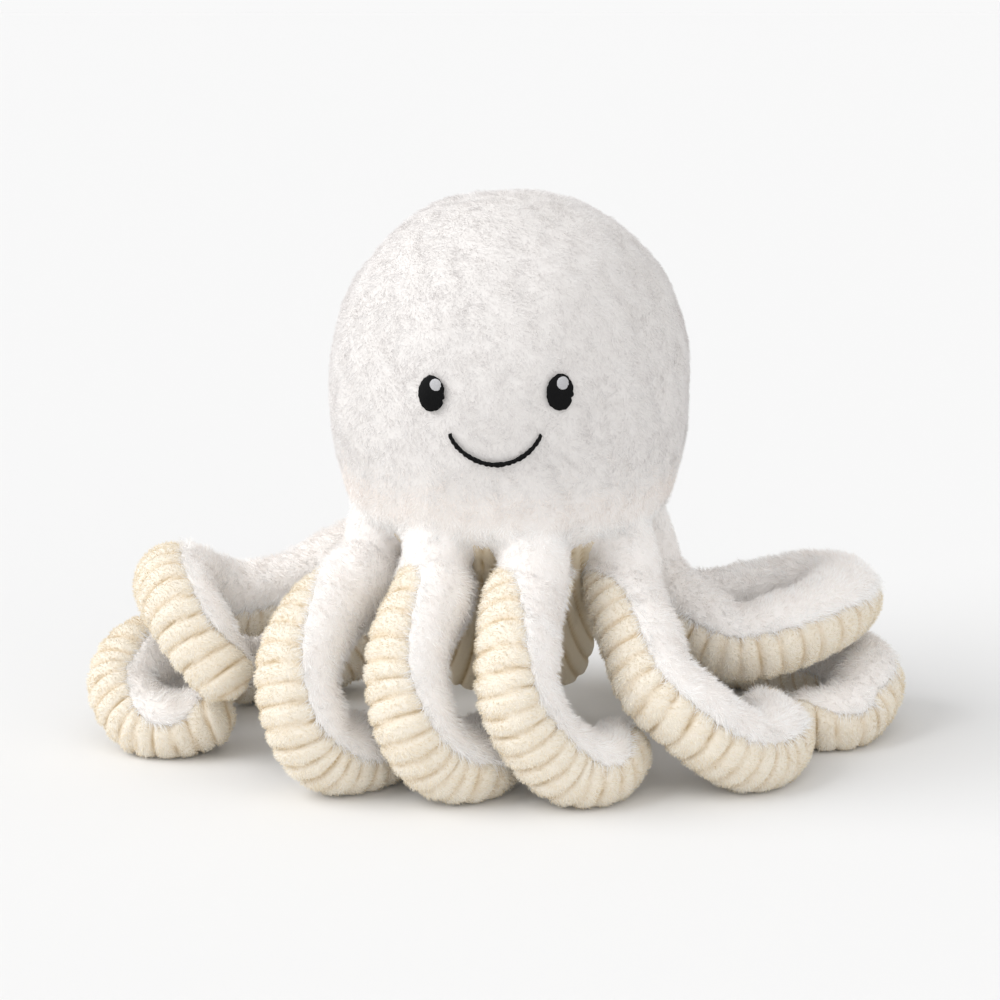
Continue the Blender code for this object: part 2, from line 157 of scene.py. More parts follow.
def add_node(
    tree: NodeTree,
    kind: str,
    values: Optional[Dict[object, object]] = None,
    links: Optional[Dict[object, Socket]] = None,
    **settings: object,
) -> bpy.types.Node:
    """Adds a shader node.

    Args:
        tree: The tree that it goes into.
        kind: The node's type name.
        values: Values of its inputs, by name or place.
        links: Sockets that feed its inputs, by name or place.
        **settings: Values of its properties.

    Returns:
        The node.
    """
    node = tree.nodes.new(kind)
    for name, value in settings.items():
        setattr(node, name, value)
    for name, value in (values or {}).items():
        node.inputs[name].default_value = value
    for name, socket in (links or {}).items():
        tree.links.new(socket, node.inputs[name])
    return node


def start_material(
    name: str, values: Dict[str, object]
) -> Tuple[Material, NodeTree, bpy.types.Node]:
    """Makes a material with its Principled shader.

    Args:
        name: The material's name.
        values: Values of the shader's own sockets, by name.

    Returns:
        The material, its tree and its shader.
    """
    material = bpy.data.materials.new(name)
    material.use_nodes = True
    shader = material.node_tree.nodes["Principled BSDF"]
    for socket, value in values.items():
        shader.inputs[socket].default_value = value
    return material, material.node_tree, shader


def cloud(
    tree: NodeTree, size: float, detail: float, rough: float, twist: float = 0.0
) -> Socket:
    """Adds soft noise over the object's own coordinates.

    Args:
        tree: The tree that it goes into.
        size: Length of its largest patches, in metres.
        detail: Finer layers.
        rough: Weight of the finer layers.
        twist: How far it is stirred.

    Returns:
        The noise, from 0 to 1.
    """
    place = add_node(tree, "ShaderNodeTexCoord")
    noise = add_node(
        tree, "ShaderNodeTexNoise",
        {"Scale": 1 / size, "Detail": detail, "Roughness": rough, "Distortion": twist},
        {"Vector": place.outputs["Object"]},
    )
    return noise.outputs["Fac"]


def blended(tree: NodeTree, share: Socket, low: str, high: str) -> Socket:
    """Blends two colours.

    Args:
        tree: The tree that it goes into.
        share: 0 for the first colour and 1 for the second.
        low: The first colour in hex.
        high: The second colour in hex.

    Returns:
        The blended colour.
    """
    mix = add_node(
        tree, "ShaderNodeMix", {6: linear(low), 7: linear(high)}, {0: share}, data_type="RGBA"
    )
    return mix.outputs[2]


@dataclass(frozen=True)
class PlushBacking:
    """Knitted polyester ground under the fur, close to the pile in colour so no gap shows. The arms' pair is
    a paler, warmer copy of the head's pair: painted light where the arms lie in shade.
    """

    head: Tuple[str, str] = ("E0DCD9", "EBE8E6")
    arms: Tuple[str, str] = ("F2EDE9", "FAF7F5")
    mottle: float = 9 * MM

    def make(self) -> Material:
        """Makes the material. The pale attribute is 0 on the head and 1 on the arms, where it picks the paler
        copy that is painted light.
        """
        material, tree, shader = start_material(
            "plush_backing", {"Roughness": 1.0, "Specular IOR Level": 0.1}
        )
        patches = cloud(tree, self.mottle, 3.0, 0.6)
        pale = add_node(tree, "ShaderNodeAttribute", attribute_name="pale")
        mix = add_node(
            tree, "ShaderNodeMix",
            links={
                0: pale.outputs["Fac"],
                6: blended(tree, patches, *self.head),
                7: blended(tree, patches, *self.arms),
            },
            data_type="RGBA",
        )
        tree.links.new(mix.outputs[2], shader.inputs["Base Color"])
        return material


@dataclass(frozen=True)
class PileTint:
    """One shade of polyester fur: soft, matt, with the faint sheen of fine round fibres."""

    name: str
    colour: str
    sheen: float

    def make(self) -> Material:
        """Makes the material."""
        values = {
            "Base Color": linear(self.colour),
            "Roughness": 0.9,
            "Specular IOR Level": 0.2,
            "Sheen Weight": self.sheen,
            "Sheen Roughness": 0.5,
        }
        return start_material(self.name, values)[0]


def pile_tints(kind: str, sheen: float, **colours: str) -> Tuple[Material, ...]:
    """Makes the shades of one kind of pile.

    Args:
        kind: What the pile is.
        sheen: How much the fine fibres glow at a flat angle.
        **colours: Hex colours by shade, from the deepest strands to the longest.

    Returns:
        The materials in the same order.
    """
    return tuple(PileTint(f"{kind}_{shade}", colour, sheen).make() for shade, colour in colours.items())


@dataclass(frozen=True)
class RibbedPlush:
    """Channelled velour: short brushed nap that thins out to a tan ground in the grooves. The darker groove
    colour is that tan ground and also painted shade in the grooves.
    """

    name: str
    crest: str
    flank: str
    groove: str
    nap: float = 1.1 * MM
    mottle: float = 7 * MM

    def make(self) -> Material:
        """Makes the material. The groove attribute is 0 on a crest and 1 in a groove."""
        values = {
            "Roughness": 0.95, "Specular IOR Level": 0.15, "Sheen Weight": 0.3, "Sheen Roughness": 0.5,
        }
        material, tree, shader = start_material(self.name, values)
        groove = add_node(tree, "ShaderNodeAttribute", attribute_name="groove")
        patches = cloud(tree, self.mottle, 4.0, 0.65)
        lift = add_node(tree, "ShaderNodeMath", {1: 0.35, 2: -0.175}, {0: patches}, operation="MULTIPLY_ADD")
        depth = add_node(
            tree, "ShaderNodeMath", links={0: groove.outputs["Fac"], 1: lift.outputs[0]},
            operation="ADD", use_clamp=True,
        )
        # Crest, flank and groove colours: the darker groove is partly the tan ground and partly painted
        # shade.
        ramp = add_node(tree, "ShaderNodeValToRGB", links={"Fac": depth.outputs[0]})
        ramp.color_ramp.elements[0].color = linear(self.crest)
        ramp.color_ramp.elements[1].color = linear(self.groove)
        ramp.color_ramp.elements.new(0.45).color = linear(self.flank)
        tree.links.new(ramp.outputs["Color"], shader.inputs["Base Color"])
        bump = add_node(
            tree, "ShaderNodeBump", {"Strength": 0.8, "Distance": 0.8 * MM},
            {"Height": cloud(tree, self.nap, 2.0, 0.7)},
        )
        tree.links.new(bump.outputs["Normal"], shader.inputs["Normal"])
        return material


@dataclass(frozen=True)
class SatinThread:
    """Rayon embroidery thread, with a soft gloss along the stitches."""

    name: str
    colour: str
    light: str
    roughness: float = 0.5
    pitch: float = 0.8 * MM

    def make(self) -> Material:
        """Makes the material."""
        material, tree, shader = start_material(
            self.name, {"Roughness": self.roughness, "Specular IOR Level": 0.08}
        )
        strands = cloud(tree, self.pitch, 2.0, 0.5)
        tree.links.new(blended(tree, strands, self.colour, self.light), shader.inputs["Base Color"])
        return material


@dataclass(frozen=True)
class Wadding:
    """Bleached polyester fibre filling, bright and matt."""

    light: str = "F7F6F3"
    deep: str = "E4E2DC"
    curl: float = 4 * MM

    def make(self) -> Material:
        """Makes the material."""
        material, tree, shader = start_material(
            "fibre_wadding", {"Roughness": 1.0, "Specular IOR Level": 0.1}
        )
        curls = cloud(tree, self.curl, 6.0, 0.5, 1.5)
        tree.links.new(blended(tree, curls, self.deep, self.light), shader.inputs["Base Color"])
        return material


def filled_by(make: Callable[[], object]) -> object:
    """Makes a wardrobe's field, filled when the wardrobe is.

    Args:
        make: Makes what the field holds.

    Returns:
        The field.
    """
    return field(default_factory=make)


@dataclass
class Wardrobe:
    """Every material of the toy, made once."""

    backing: Material = filled_by(PlushBacking().make)
    ribs: Material = filled_by(RibbedPlush("ribbed_plush", "F4ECDE", "ECDFCB", "D0B891").make)
    # The bowl is the same ribbed cloth in darker, tanner colours: painted shade under the toy.
    base_ribs_painted_shade: Material = filled_by(RibbedPlush("ribbed_base_painted_shade", "ECDEC4", "E0CDAB", "C4A87A").make)
    wadding: Material = filled_by(Wadding().make)
    black: Material = filled_by(SatinThread("black_satin_thread", "060607", "141415").make)
    grey: Material = filled_by(SatinThread("grey_satin_thread", "ABABAE", "C6C6C8", 0.45).make)
    # One white plush: the arms' shades are a paler, warmer copy of the head's, painted light where the arms
    # lie in shade and a painted warm bounce from the ribs.
    fur: Tuple[Material, ...] = filled_by(
        lambda: pile_tints("fur", 0.5, deep="DEDAD9", warm="E6E3E2", white="EDEBEA")
    )
    arm_fur_painted_light: Tuple[Material, ...] = filled_by(
        lambda: pile_tints("arm_fur_painted_light", 0.5, deep="F7F0EB", warm="FCF8F5", white="FFFEFD")
    )
    # Short nap, as in the grooves, takes the tan shade by its length: painted shade.
    nap: Tuple[Material, ...] = filled_by(
        lambda: pile_tints("nap", 0.3, tan="E3D3B6", cream="EFE4CF", pale="F6F0E3")
    )


def read_vectors(items: bpy.types.bpy_prop_collection, key: str) -> Array:
    """Reads vectors of a mesh in one go.

    Args:
        items: Vertices, or an attribute's data.
        key: Name of the property.

    Returns:
        Rows of three numbers.
    """
    values = np.empty(len(items) * 3, np.float32)
    items.foreach_get(key, values)
    return values.reshape(-1, 3).astype(float)


def finish_mesh(shape: bmesh.types.BMesh, name: str) -> Mesh:
    """Closes a bmesh's seams, turns its faces outwards and makes it a mesh.

    Args:
        shape: The bmesh, which is freed.
        name: The mesh's name.

    Returns:
        The mesh, shaded smooth.
    """
    bmesh.ops.remove_doubles(shape, verts=shape.verts, dist=MERGE)
    bmesh.ops.recalc_face_normals(shape, faces=shape.faces)
    mesh = bpy.data.meshes.new(name)
    shape.to_mesh(mesh)
    shape.free()
    mesh.shade_smooth()
    return mesh


def add_piece(mesh: Mesh, materials: Sequence[Material]) -> Object:
    """Puts a mesh in the scene under its own name.

    Args:
        mesh: The mesh.
        materials: Its materials.

    Returns:
        The object.
    """
    piece = bpy.data.objects.new(mesh.name, mesh)
    bpy.context.scene.collection.objects.link(piece)
    for material in materials:
        mesh.materials.append(material)
    return piece


def wrapped(
    name: str, along: int, around: int, place: Callable[[Array, Array], Tuple[Array, Dict[str, Array]]]
) -> Mesh:
    """Wraps a grid into a closed skin.

    Args:
        name: The mesh's name.
        along: Cells from end to end.
        around: Cells round it.
        place: Gives the places for shares along and around, and numbers to keep at each vertex.

    Returns:
        The mesh. Its first and last columns meet, and each end closes where its places meet.
    """
    shape = bmesh.new()
    bmesh.ops.create_grid(shape, x_segments=along, y_segments=around, size=1.0)
    flat = np.array([vert.co[:2] for vert in shape.verts]) / 2 + 0.5
    places, kept = place(flat[:, 0], flat[:, 1])
    layers = {key: shape.verts.layers.float.new(key) for key in kept if kept[key].ndim == 1}
    ways = {key: shape.verts.layers.float_vector.new(key) for key in kept if kept[key].ndim == 2}
    for i, vert in enumerate(shape.verts):
        vert.co = places[i]
        for key, layer in layers.items():
            vert[layer] = kept[key][i]
        for key, layer in ways.items():
            vert[layer] = kept[key][i]
    return finish_mesh(shape, name)


@dataclass
class Coat:
    """A skin as pile sees it: its corners, its triangles and how pile lies there."""

    places: Array
    normals: Array
    triangles: Array
    comb: Array
    share: Array
    pale: Array

    @classmethod
    def of(cls, mesh: Mesh, comb: Array, share: Array, pale: Array) -> "Coat":
        """Reads a mesh.

        Args:
            mesh: The skin.
            comb: The way that pile leans at each vertex.
            share: Pile length at each vertex, as a share of the full length.
            pale: How far the shades have moved to the palest, from 0 to 1: towards the arms' painted-light
                shades.

        Returns:
            The coat.
        """
        mesh.calc_loop_triangles()
        corners = np.empty(len(mesh.loop_triangles) * 3, np.int32)
        mesh.loop_triangles.foreach_get("vertices", corners)
        places, normals = (read_vectors(mesh.vertices, key) for key in ("co", "normal"))
        return cls(places, normals, corners.reshape(-1, 3), comb, share, pale)


@dataclass(frozen=True)
class Pile:
    """Size and growth of pile. Real fibres are finer: they are drawn as thin locks."""

    length: float
    width: float
    per_square_mm: float
    lean: float
    tuft: float
    tuft_pull: float
    swirl: float
    bury: float = 0.6 * MM
    vary: float = 0.25
    mixed: int = 3
    least: float = 0.04
    quick_share: float = 0.4
    swirl_patch: float = 22 * MM
    swirl_scatter: float = 0.5
    lean_patch: float = 9 * MM
    lean_scatter: float = 0.10
    lean_limits: Tuple[float, float] = (0.15, 1.35)
    over_floor: float = 0.1 * MM
    tint_patch: float = 14 * MM
    tint_level: float = 0.55
    tint_drift: float = 0.12
    tint_scatter: float = 0.16
    painted_shade_by_length: float = 1.3

    def grow(self, name: str, coat: Coat, tints: Sequence[Material], seed: int) -> Object:
        """Grows strands on a coat.

        Args:
            name: The new object's name.
            coat: Where and how they grow.
            tints: Materials, from the deepest strands to the longest.
            seed: Seed of the draw.

        Returns:
            The object, one closed spike for each strand.
        """
        draw = np.random.default_rng(seed)
        a, b, c = (coat.places[coat.triangles[:, i]] for i in range(3))
        area = np.linalg.norm(np.cross(b - a, c - a), axis=1) / 2
        wanted = area / MM**2 * self.per_square_mm * 1.0
        wanted *= coat.share[coat.triangles].max(1) > self.least / 2
        count = np.floor(wanted + draw.uniform(size=len(wanted))).astype(int)
        chosen = np.repeat(np.arange(len(count)), count)
        first, second = draw.uniform(size=(2, len(chosen)))
        over = first + second > 1
        first[over], second[over] = 1 - first[over], 1 - second[over]
        weights = np.stack([1 - first - second, first, second], 1)[:, :, None]
        corners = coat.triangles[chosen]
        roots = (coat.places[corners] * weights).sum(1)
        normals = unit((coat.normals[corners] * weights).sum(1))
        comb = (coat.comb[corners] * weights).sum(1)
        share = (coat.share[corners] * weights[:, :, 0]).sum(1)
        pale = (coat.pale[corners] * weights[:, :, 0]).sum(1)
        kept = share > self.least
        roots, normals, comb = roots[kept], normals[kept], comb[kept]
        share, pale = share[kept], pale[kept]

        comb = unit(comb - normals * (comb * normals).sum(1, keepdims=True))
        side = np.cross(normals, comb)
        turn = Drift(self.swirl_patch, seed + 1).at(roots) * self.swirl
        turn = turn + draw.normal(size=len(roots)) * self.swirl_scatter
        lying = comb * np.cos(turn)[:, None] + side * np.sin(turn)[:, None]
        lean = self.lean + self.lean_scatter * Drift(self.lean_patch, seed + 2).at(roots)
        lean = lean + self.lean_scatter * draw.normal(size=len(roots))
        lean = np.clip(lean, *self.lean_limits)
        ways = normals * np.cos(lean)[:, None] + lying * np.sin(lean)[:, None]
        size = share * self.length * (1 - self.vary * draw.uniform(size=len(roots)) ** 1.5)
        pull = np.stack([Drift(self.tuft, seed + 3 + k).at(roots) for k in range(3)], 1)
        pull = pull * self.tuft_pull
        tips = roots + ways * size[:, None] + pull * share[:, None]
        tips[:, 2] = np.maximum(tips[:, 2], self.over_floor)
        # Paleness moves the shades up to the arms' paler ones, which are painted light.
        deepest = pale * (len(tints) - self.mixed)
        tints_of = self.tint(size / self.length, roots, deepest, seed, draw)
        return self.strands(name, roots, normals, tips, tints_of, tints, draw)

    def tint(self, size: Array, roots: Array, first: Array, seed: int, draw: np.random.Generator) -> Array:
        """Picks each strand's tint: long strands are paler and short ones darker, as painted shade deep in
        the pile, and shades drift over the skin.

        Args:
            size: Each strand's length as a share of the full length.
            roots: Where it stands.
            first: The deepest tint that stands there. Tints that lie side by side are mixed.
            seed: Seed of the drift.
            draw: Source of random numbers.

        Returns:
            The number of each strand's material.
        """
        level = self.tint_level + self.tint_drift * Drift(self.tint_patch, seed + 9).at(roots)
        level = level + self.tint_scatter * draw.normal(size=len(roots))
        # Painted shade: the shorter a strand, the darker its shade.
        level += (size - 1 + self.vary / 2) * self.painted_shade_by_length
        step = np.clip(level * (self.mixed - 1) + 0.2, -0.5, self.mixed - 0.51)
        return np.maximum(np.round(step + first), 0).astype(np.int32)

    def strands(
        self, name: str, roots: Array, normals: Array, tips: Array, tints_of: Array,
        tints: Sequence[Material], draw: np.random.Generator,
    ) -> Object:
        """Makes a three-sided spike from each root to its tip.

        Args:
            name: The object's name.
            roots: Points on the skin.
            normals: The skin's normals there.
            tips: Where the spikes end.
            tints_of: The number of each spike's material.
            tints: The materials.
            draw: Source of random numbers.

        Returns:
            The object.
        """
        shape = bmesh.new()
        bmesh.ops.create_cone(shape, cap_ends=True, segments=3, radius1=0.5, radius2=0.0, depth=1.0)
        spike = np.array([vert.co[:] for vert in shape.verts])
        faces = np.array([[vert.index for vert in face.verts] for face in shape.faces])
        shape.free()
        long = tips - roots
        across = unit(np.cross(long, draw.normal(size=long.shape)))
        other = unit(np.cross(long, across))
        base = roots - normals * self.bury
        height = (spike[:, 2] + 0.5)[None, :, None]
        foot = base[:, None] + self.width * (
            across[:, None] * spike[None, :, :1] + other[:, None] * spike[None, :, 1:2]
        )
        places = foot * (1 - height) + tips[:, None] * height
        count, corners, sides = len(roots), len(spike), len(faces)
        mesh = bpy.data.meshes.new(name)
        mesh.vertices.add(count * corners)
        mesh.vertices.foreach_set("co", places.astype(np.float32).ravel())
        mesh.loops.add(count * sides * 3)
        joined = (faces[None] + np.arange(count)[:, None, None] * corners).astype(np.int32)
        mesh.loops.foreach_set("vertex_index", joined.ravel())
        mesh.polygons.add(count * sides)
        mesh.polygons.foreach_set("loop_start", np.arange(0, count * sides * 3, 3, dtype=np.int32))
        mesh.polygons.foreach_set("material_index", np.repeat(tints_of, sides))
        mesh.update(calc_edges=True)
        mesh.shade_flat()
        return add_piece(mesh, tints)


def smooth_curve(points: Array, samples: int) -> Array:
    """Samples a curve that passes through points.

    Args:
        points: Rows of numbers.
        samples: Samples for each span.

    Returns:
        Rows of the same width, the last point among them.
    """
    run = np.vstack([2 * points[0] - points[1], points, 2 * points[-1] - points[-2]])
    share = (np.arange(samples) / samples)[:, None]
    curve = []
    for before, start, end, after in zip(run, run[1:], run[2:], run[3:]):
        curve.append(
            (
                start * 2
                + (end - before) * share
                + (before * 2 - start * 5 + end * 4 - after) * share**2
                + (start * 3 - before - end * 3 + after) * share**3
            )
            / 2
        )
    return np.vstack([*curve, points[-1:]])


# Where each arm's centre line runs from its root. Across is to the right and ahead is to the
# front, both as shares of the arm's length. Rise is the share of the way up from lying on the
# floor to the root's height. The last three numbers point to the plush side.
ARM_PATH_SHARES = (
    (
        (-0.10, -0.09, 0.64, 0.0, -0.1, 1.0), (-0.23, -0.11, 0.30, 0.1, -0.35, 0.95),
        (-0.41, -0.07, 0.05, 0.2, -0.35, 0.9), (-0.59, 0.03, 0.04, 0.45, -0.1, 0.85),
        (-0.74, 0.15, 0.16, 0.75, 0.3, 0.3), (-0.83, 0.28, 0.31, 0.9, -0.05, -0.35),
        (-0.87, 0.36, 0.18, 0.95, -0.35, 0.05), (-0.82, 0.43, 0.01, 0.6, -0.45, 0.65),
        (-0.74, 0.45, -0.02, 0.1, -0.2, 1.0), (-0.67, 0.44, 0.03, -0.3, -0.1, 1.0),
    ),
    (
        (-0.18, 0.01, 0.79, 0.0, 0.0, 1.0), (-0.29, 0.05, 0.66, 0.0, 0.0, 1.0),
        (-0.41, 0.08, 0.63, 0.5, 0.0, 0.85), (-0.50, 0.13, 0.73, 0.9, 0.0, 0.3),
        (-0.55, 0.23, 0.84, 0.95, -0.1, -0.25), (-0.52, 0.35, 0.77, 0.85, -0.5, -0.1),
        (-0.47, 0.40, 0.58, 0.75, -0.65, 0.1), (-0.42, 0.42, 0.41, 0.7, -0.65, 0.3),
    ),
    (
        (-0.07, 0.14, 0.88, 0.7, 0.15, 0.75), (-0.14, 0.27, 0.77, 0.95, 0.1, 0.0),
        (-0.18, 0.36, 0.57, 1.0, -0.2, -0.1), (-0.17, 0.40, 0.33, 0.9, -0.45, 0.15),
        (-0.13, 0.39, 0.10, 0.45, -0.6, 0.65), (-0.06, 0.34, 0.00, 0.1, -0.25, 1.0),
        (0.01, 0.27, 0.00, -0.2, 0.1, 1.0), (0.06, 0.19, 0.05, -0.4, 0.1, 0.9),
    ),
    (
        (-0.01, 0.10, 0.92, 0.95, 0.2, 0.15), (-0.05, 0.19, 0.74, 1.0, 0.05, -0.1),
        (-0.06, 0.23, 0.53, 1.0, -0.2, 0.0), (-0.04, 0.26, 0.29, 0.8, -0.55, 0.3),
        (0.01, 0.24, 0.08, 0.4, -0.6, 0.7), (0.08, 0.20, 0.00, 0.0, -0.3, 1.0),
        (0.14, 0.10, 0.01, -0.2, 0.1, 1.0), (0.18, 0.00, 0.06, -0.3, 0.2, 1.0),
    ),
    (
        (-0.03, 0.09, 0.92, 1.0, 0.1, 0.1), (-0.04, 0.18, 0.74, 1.0, -0.2, -0.1),
        (-0.04, 0.23, 0.50, 0.85, -0.55, 0.05), (0.00, 0.23, 0.25, 0.55, -0.7, 0.4),
        (0.07, 0.21, 0.05, 0.2, -0.65, 0.7), (0.14, 0.18, -0.01, -0.1, -0.3, 0.95),
        (0.19, 0.11, 0.02, -0.4, 0.1, 1.0),
    ),
    (
        (0.02, 0.09, 0.82, 0.9, -0.1, 0.35), (0.05, 0.18, 0.64, 0.95, -0.2, 0.3),
        (0.08, 0.25, 0.46, 0.8, -0.5, 0.6), (0.15, 0.27, 0.30, 0.5, -0.5, 0.8),
        (0.23, 0.26, 0.12, 0.2, -0.5, 0.9), (0.31, 0.21, 0.00, -0.2, -0.55, 0.85),
        (0.37, 0.11, 0.01, -0.5, -0.2, 0.9), (0.35, 0.01, 0.05, -0.3, -0.1, 1.0),
    ),
    (
        (0.06, 0.02, 0.72, 0.3, -0.2, 1.0), (0.14, 0.09, 0.57, 0.2, -0.4, 0.95),
        (0.24, 0.14, 0.46, 0.1, -0.45, 0.95), (0.36, 0.13, 0.52, -0.1, -0.45, 0.95),
        (0.47, 0.06, 0.60, -0.25, -0.35, 1.0), (0.53, -0.07, 0.63, -0.35, -0.1, 1.0),
        (0.47, -0.18, 0.60, -0.1, -0.1, 1.0), (0.36, -0.20, 0.54, 0.0, 0.0, 1.0),
        (0.26, -0.18, 0.52, 0.0, 0.1, 1.0), (0.18, -0.15, 0.53, 0.0, 0.1, 1.0),
    ),
    (
        (0.07, -0.15, 0.50, 0.0, 0.0, 1.0), (0.23, -0.20, 0.21, 0.0, 0.0, 1.0),
        (0.41, -0.15, 0.05, 0.0, 0.0, 1.0), (0.58, -0.04, 0.05, 0.0, 0.0, 1.0),
        (0.68, 0.07, 0.11, -0.35, -0.1, 0.95), (0.71, 0.20, 0.10, -0.6, -0.1, 0.8),
        (0.67, 0.29, 0.00, -0.4, -0.45, 0.8), (0.62, 0.34, -0.03, 0.0, -0.3, 0.95),
        (0.55, 0.35, -0.03, 0.1, -0.1, 1.0),
    ),
)


@dataclass
class ArmLine:
    """The centre line of an arm, read by distance from its root."""

    root: Vector
    rows: Sequence[Tuple[float, ...]]
    length: float = 0.25
    thickness: float = 43 * MM
    root_thickness: float = 40 * MM
    tip_thickness: float = 34.5 * MM
    swell_share: float = 0.18
    taper_share: float = 0.30
    sink: float = 1.55 * MM
    samples: int = 24

    def __post_init__(self) -> None:
        """Samples the line."""
        root = np.array(self.root)
        lying = self.thickness / 2 - self.sink
        table = np.array(self.rows)
        places = np.empty((len(table) + 1, 3))
        places[0] = root
        places[1:, 0] = root[0] + table[:, 0] * self.length
        places[1:, 1] = root[1] - table[:, 1] * self.length
        places[1:, 2] = lying + table[:, 2] * (root[2] - lying)
        sides = np.vstack([[0.0, 0.0, 1.0], unit(table[:, 3:] * (1, -1, 1))])
        self.curve = smooth_curve(places, self.samples)
        self.sides = smooth_curve(sides, self.samples)
        steps = np.linalg.norm(np.diff(self.curve, axis=0), axis=1)
        self.reach = np.concatenate([[0.0], np.cumsum(steps)])
        self.headings = unit(np.gradient(self.curve, self.reach, axis=0))
        self.full = float(self.reach[-1])
        across = np.cross(self.headings, self.sides)
        under = self.curve - unit(np.cross(across, self.headings)) * self.radius(self.reach)[:, None]
        self.cloth = np.concatenate([[0.0], np.cumsum(np.linalg.norm(np.diff(under, axis=0), axis=1))])

    def cloth_distance(self, distance: Array) -> Array:
        """Measures along the underside's cloth, which is longer than the line where an arm curls up.

        Args:
            distance: Metres from the root on the line.

        Returns:
            Metres from the root on the cloth.
        """
        inside = np.clip(distance, 0.0, self.full)
        return np.interp(inside, self.reach, self.cloth) + distance - inside

    def at(self, distance: Array) -> Tuple[Array, Array, Array, Array]:
        """Reads the line, which runs on straight past both ends.

        Args:
            distance: Metres from the root, below zero inside the body.

        Returns:
            Places, headings, ways to the plush side and ways across.
        """
        inside = np.clip(distance, 0.0, self.full)
        place, heading, side = (
            np.stack([np.interp(inside, self.reach, values[:, k]) for k in range(3)], 1)
            for values in (self.curve, self.headings, self.sides)
        )
        heading = unit(heading)
        place = place + heading * (distance - inside)[:, None]
        up = unit(side - heading * (side * heading).sum(1, keepdims=True))
        return place, heading, up, np.cross(heading, up)

    def radius(self, distance: Array) -> Array:
        """Gives the stuffed arm's radius.

        Args:
            distance: Metres from the root.

        Returns:
            Radii in metres.
        """
        share = np.clip(distance / self.full, 0.0, 1.0)
        full = self.thickness / 2
        root = (self.root_thickness / 2 - full) * np.clip(1 - share / self.swell_share, 0, 1) ** 2
        tip = (self.tip_thickness / 2 - full) * np.clip((share - 1) / self.taper_share + 1, 0, 1) ** 2
        return full + root + tip


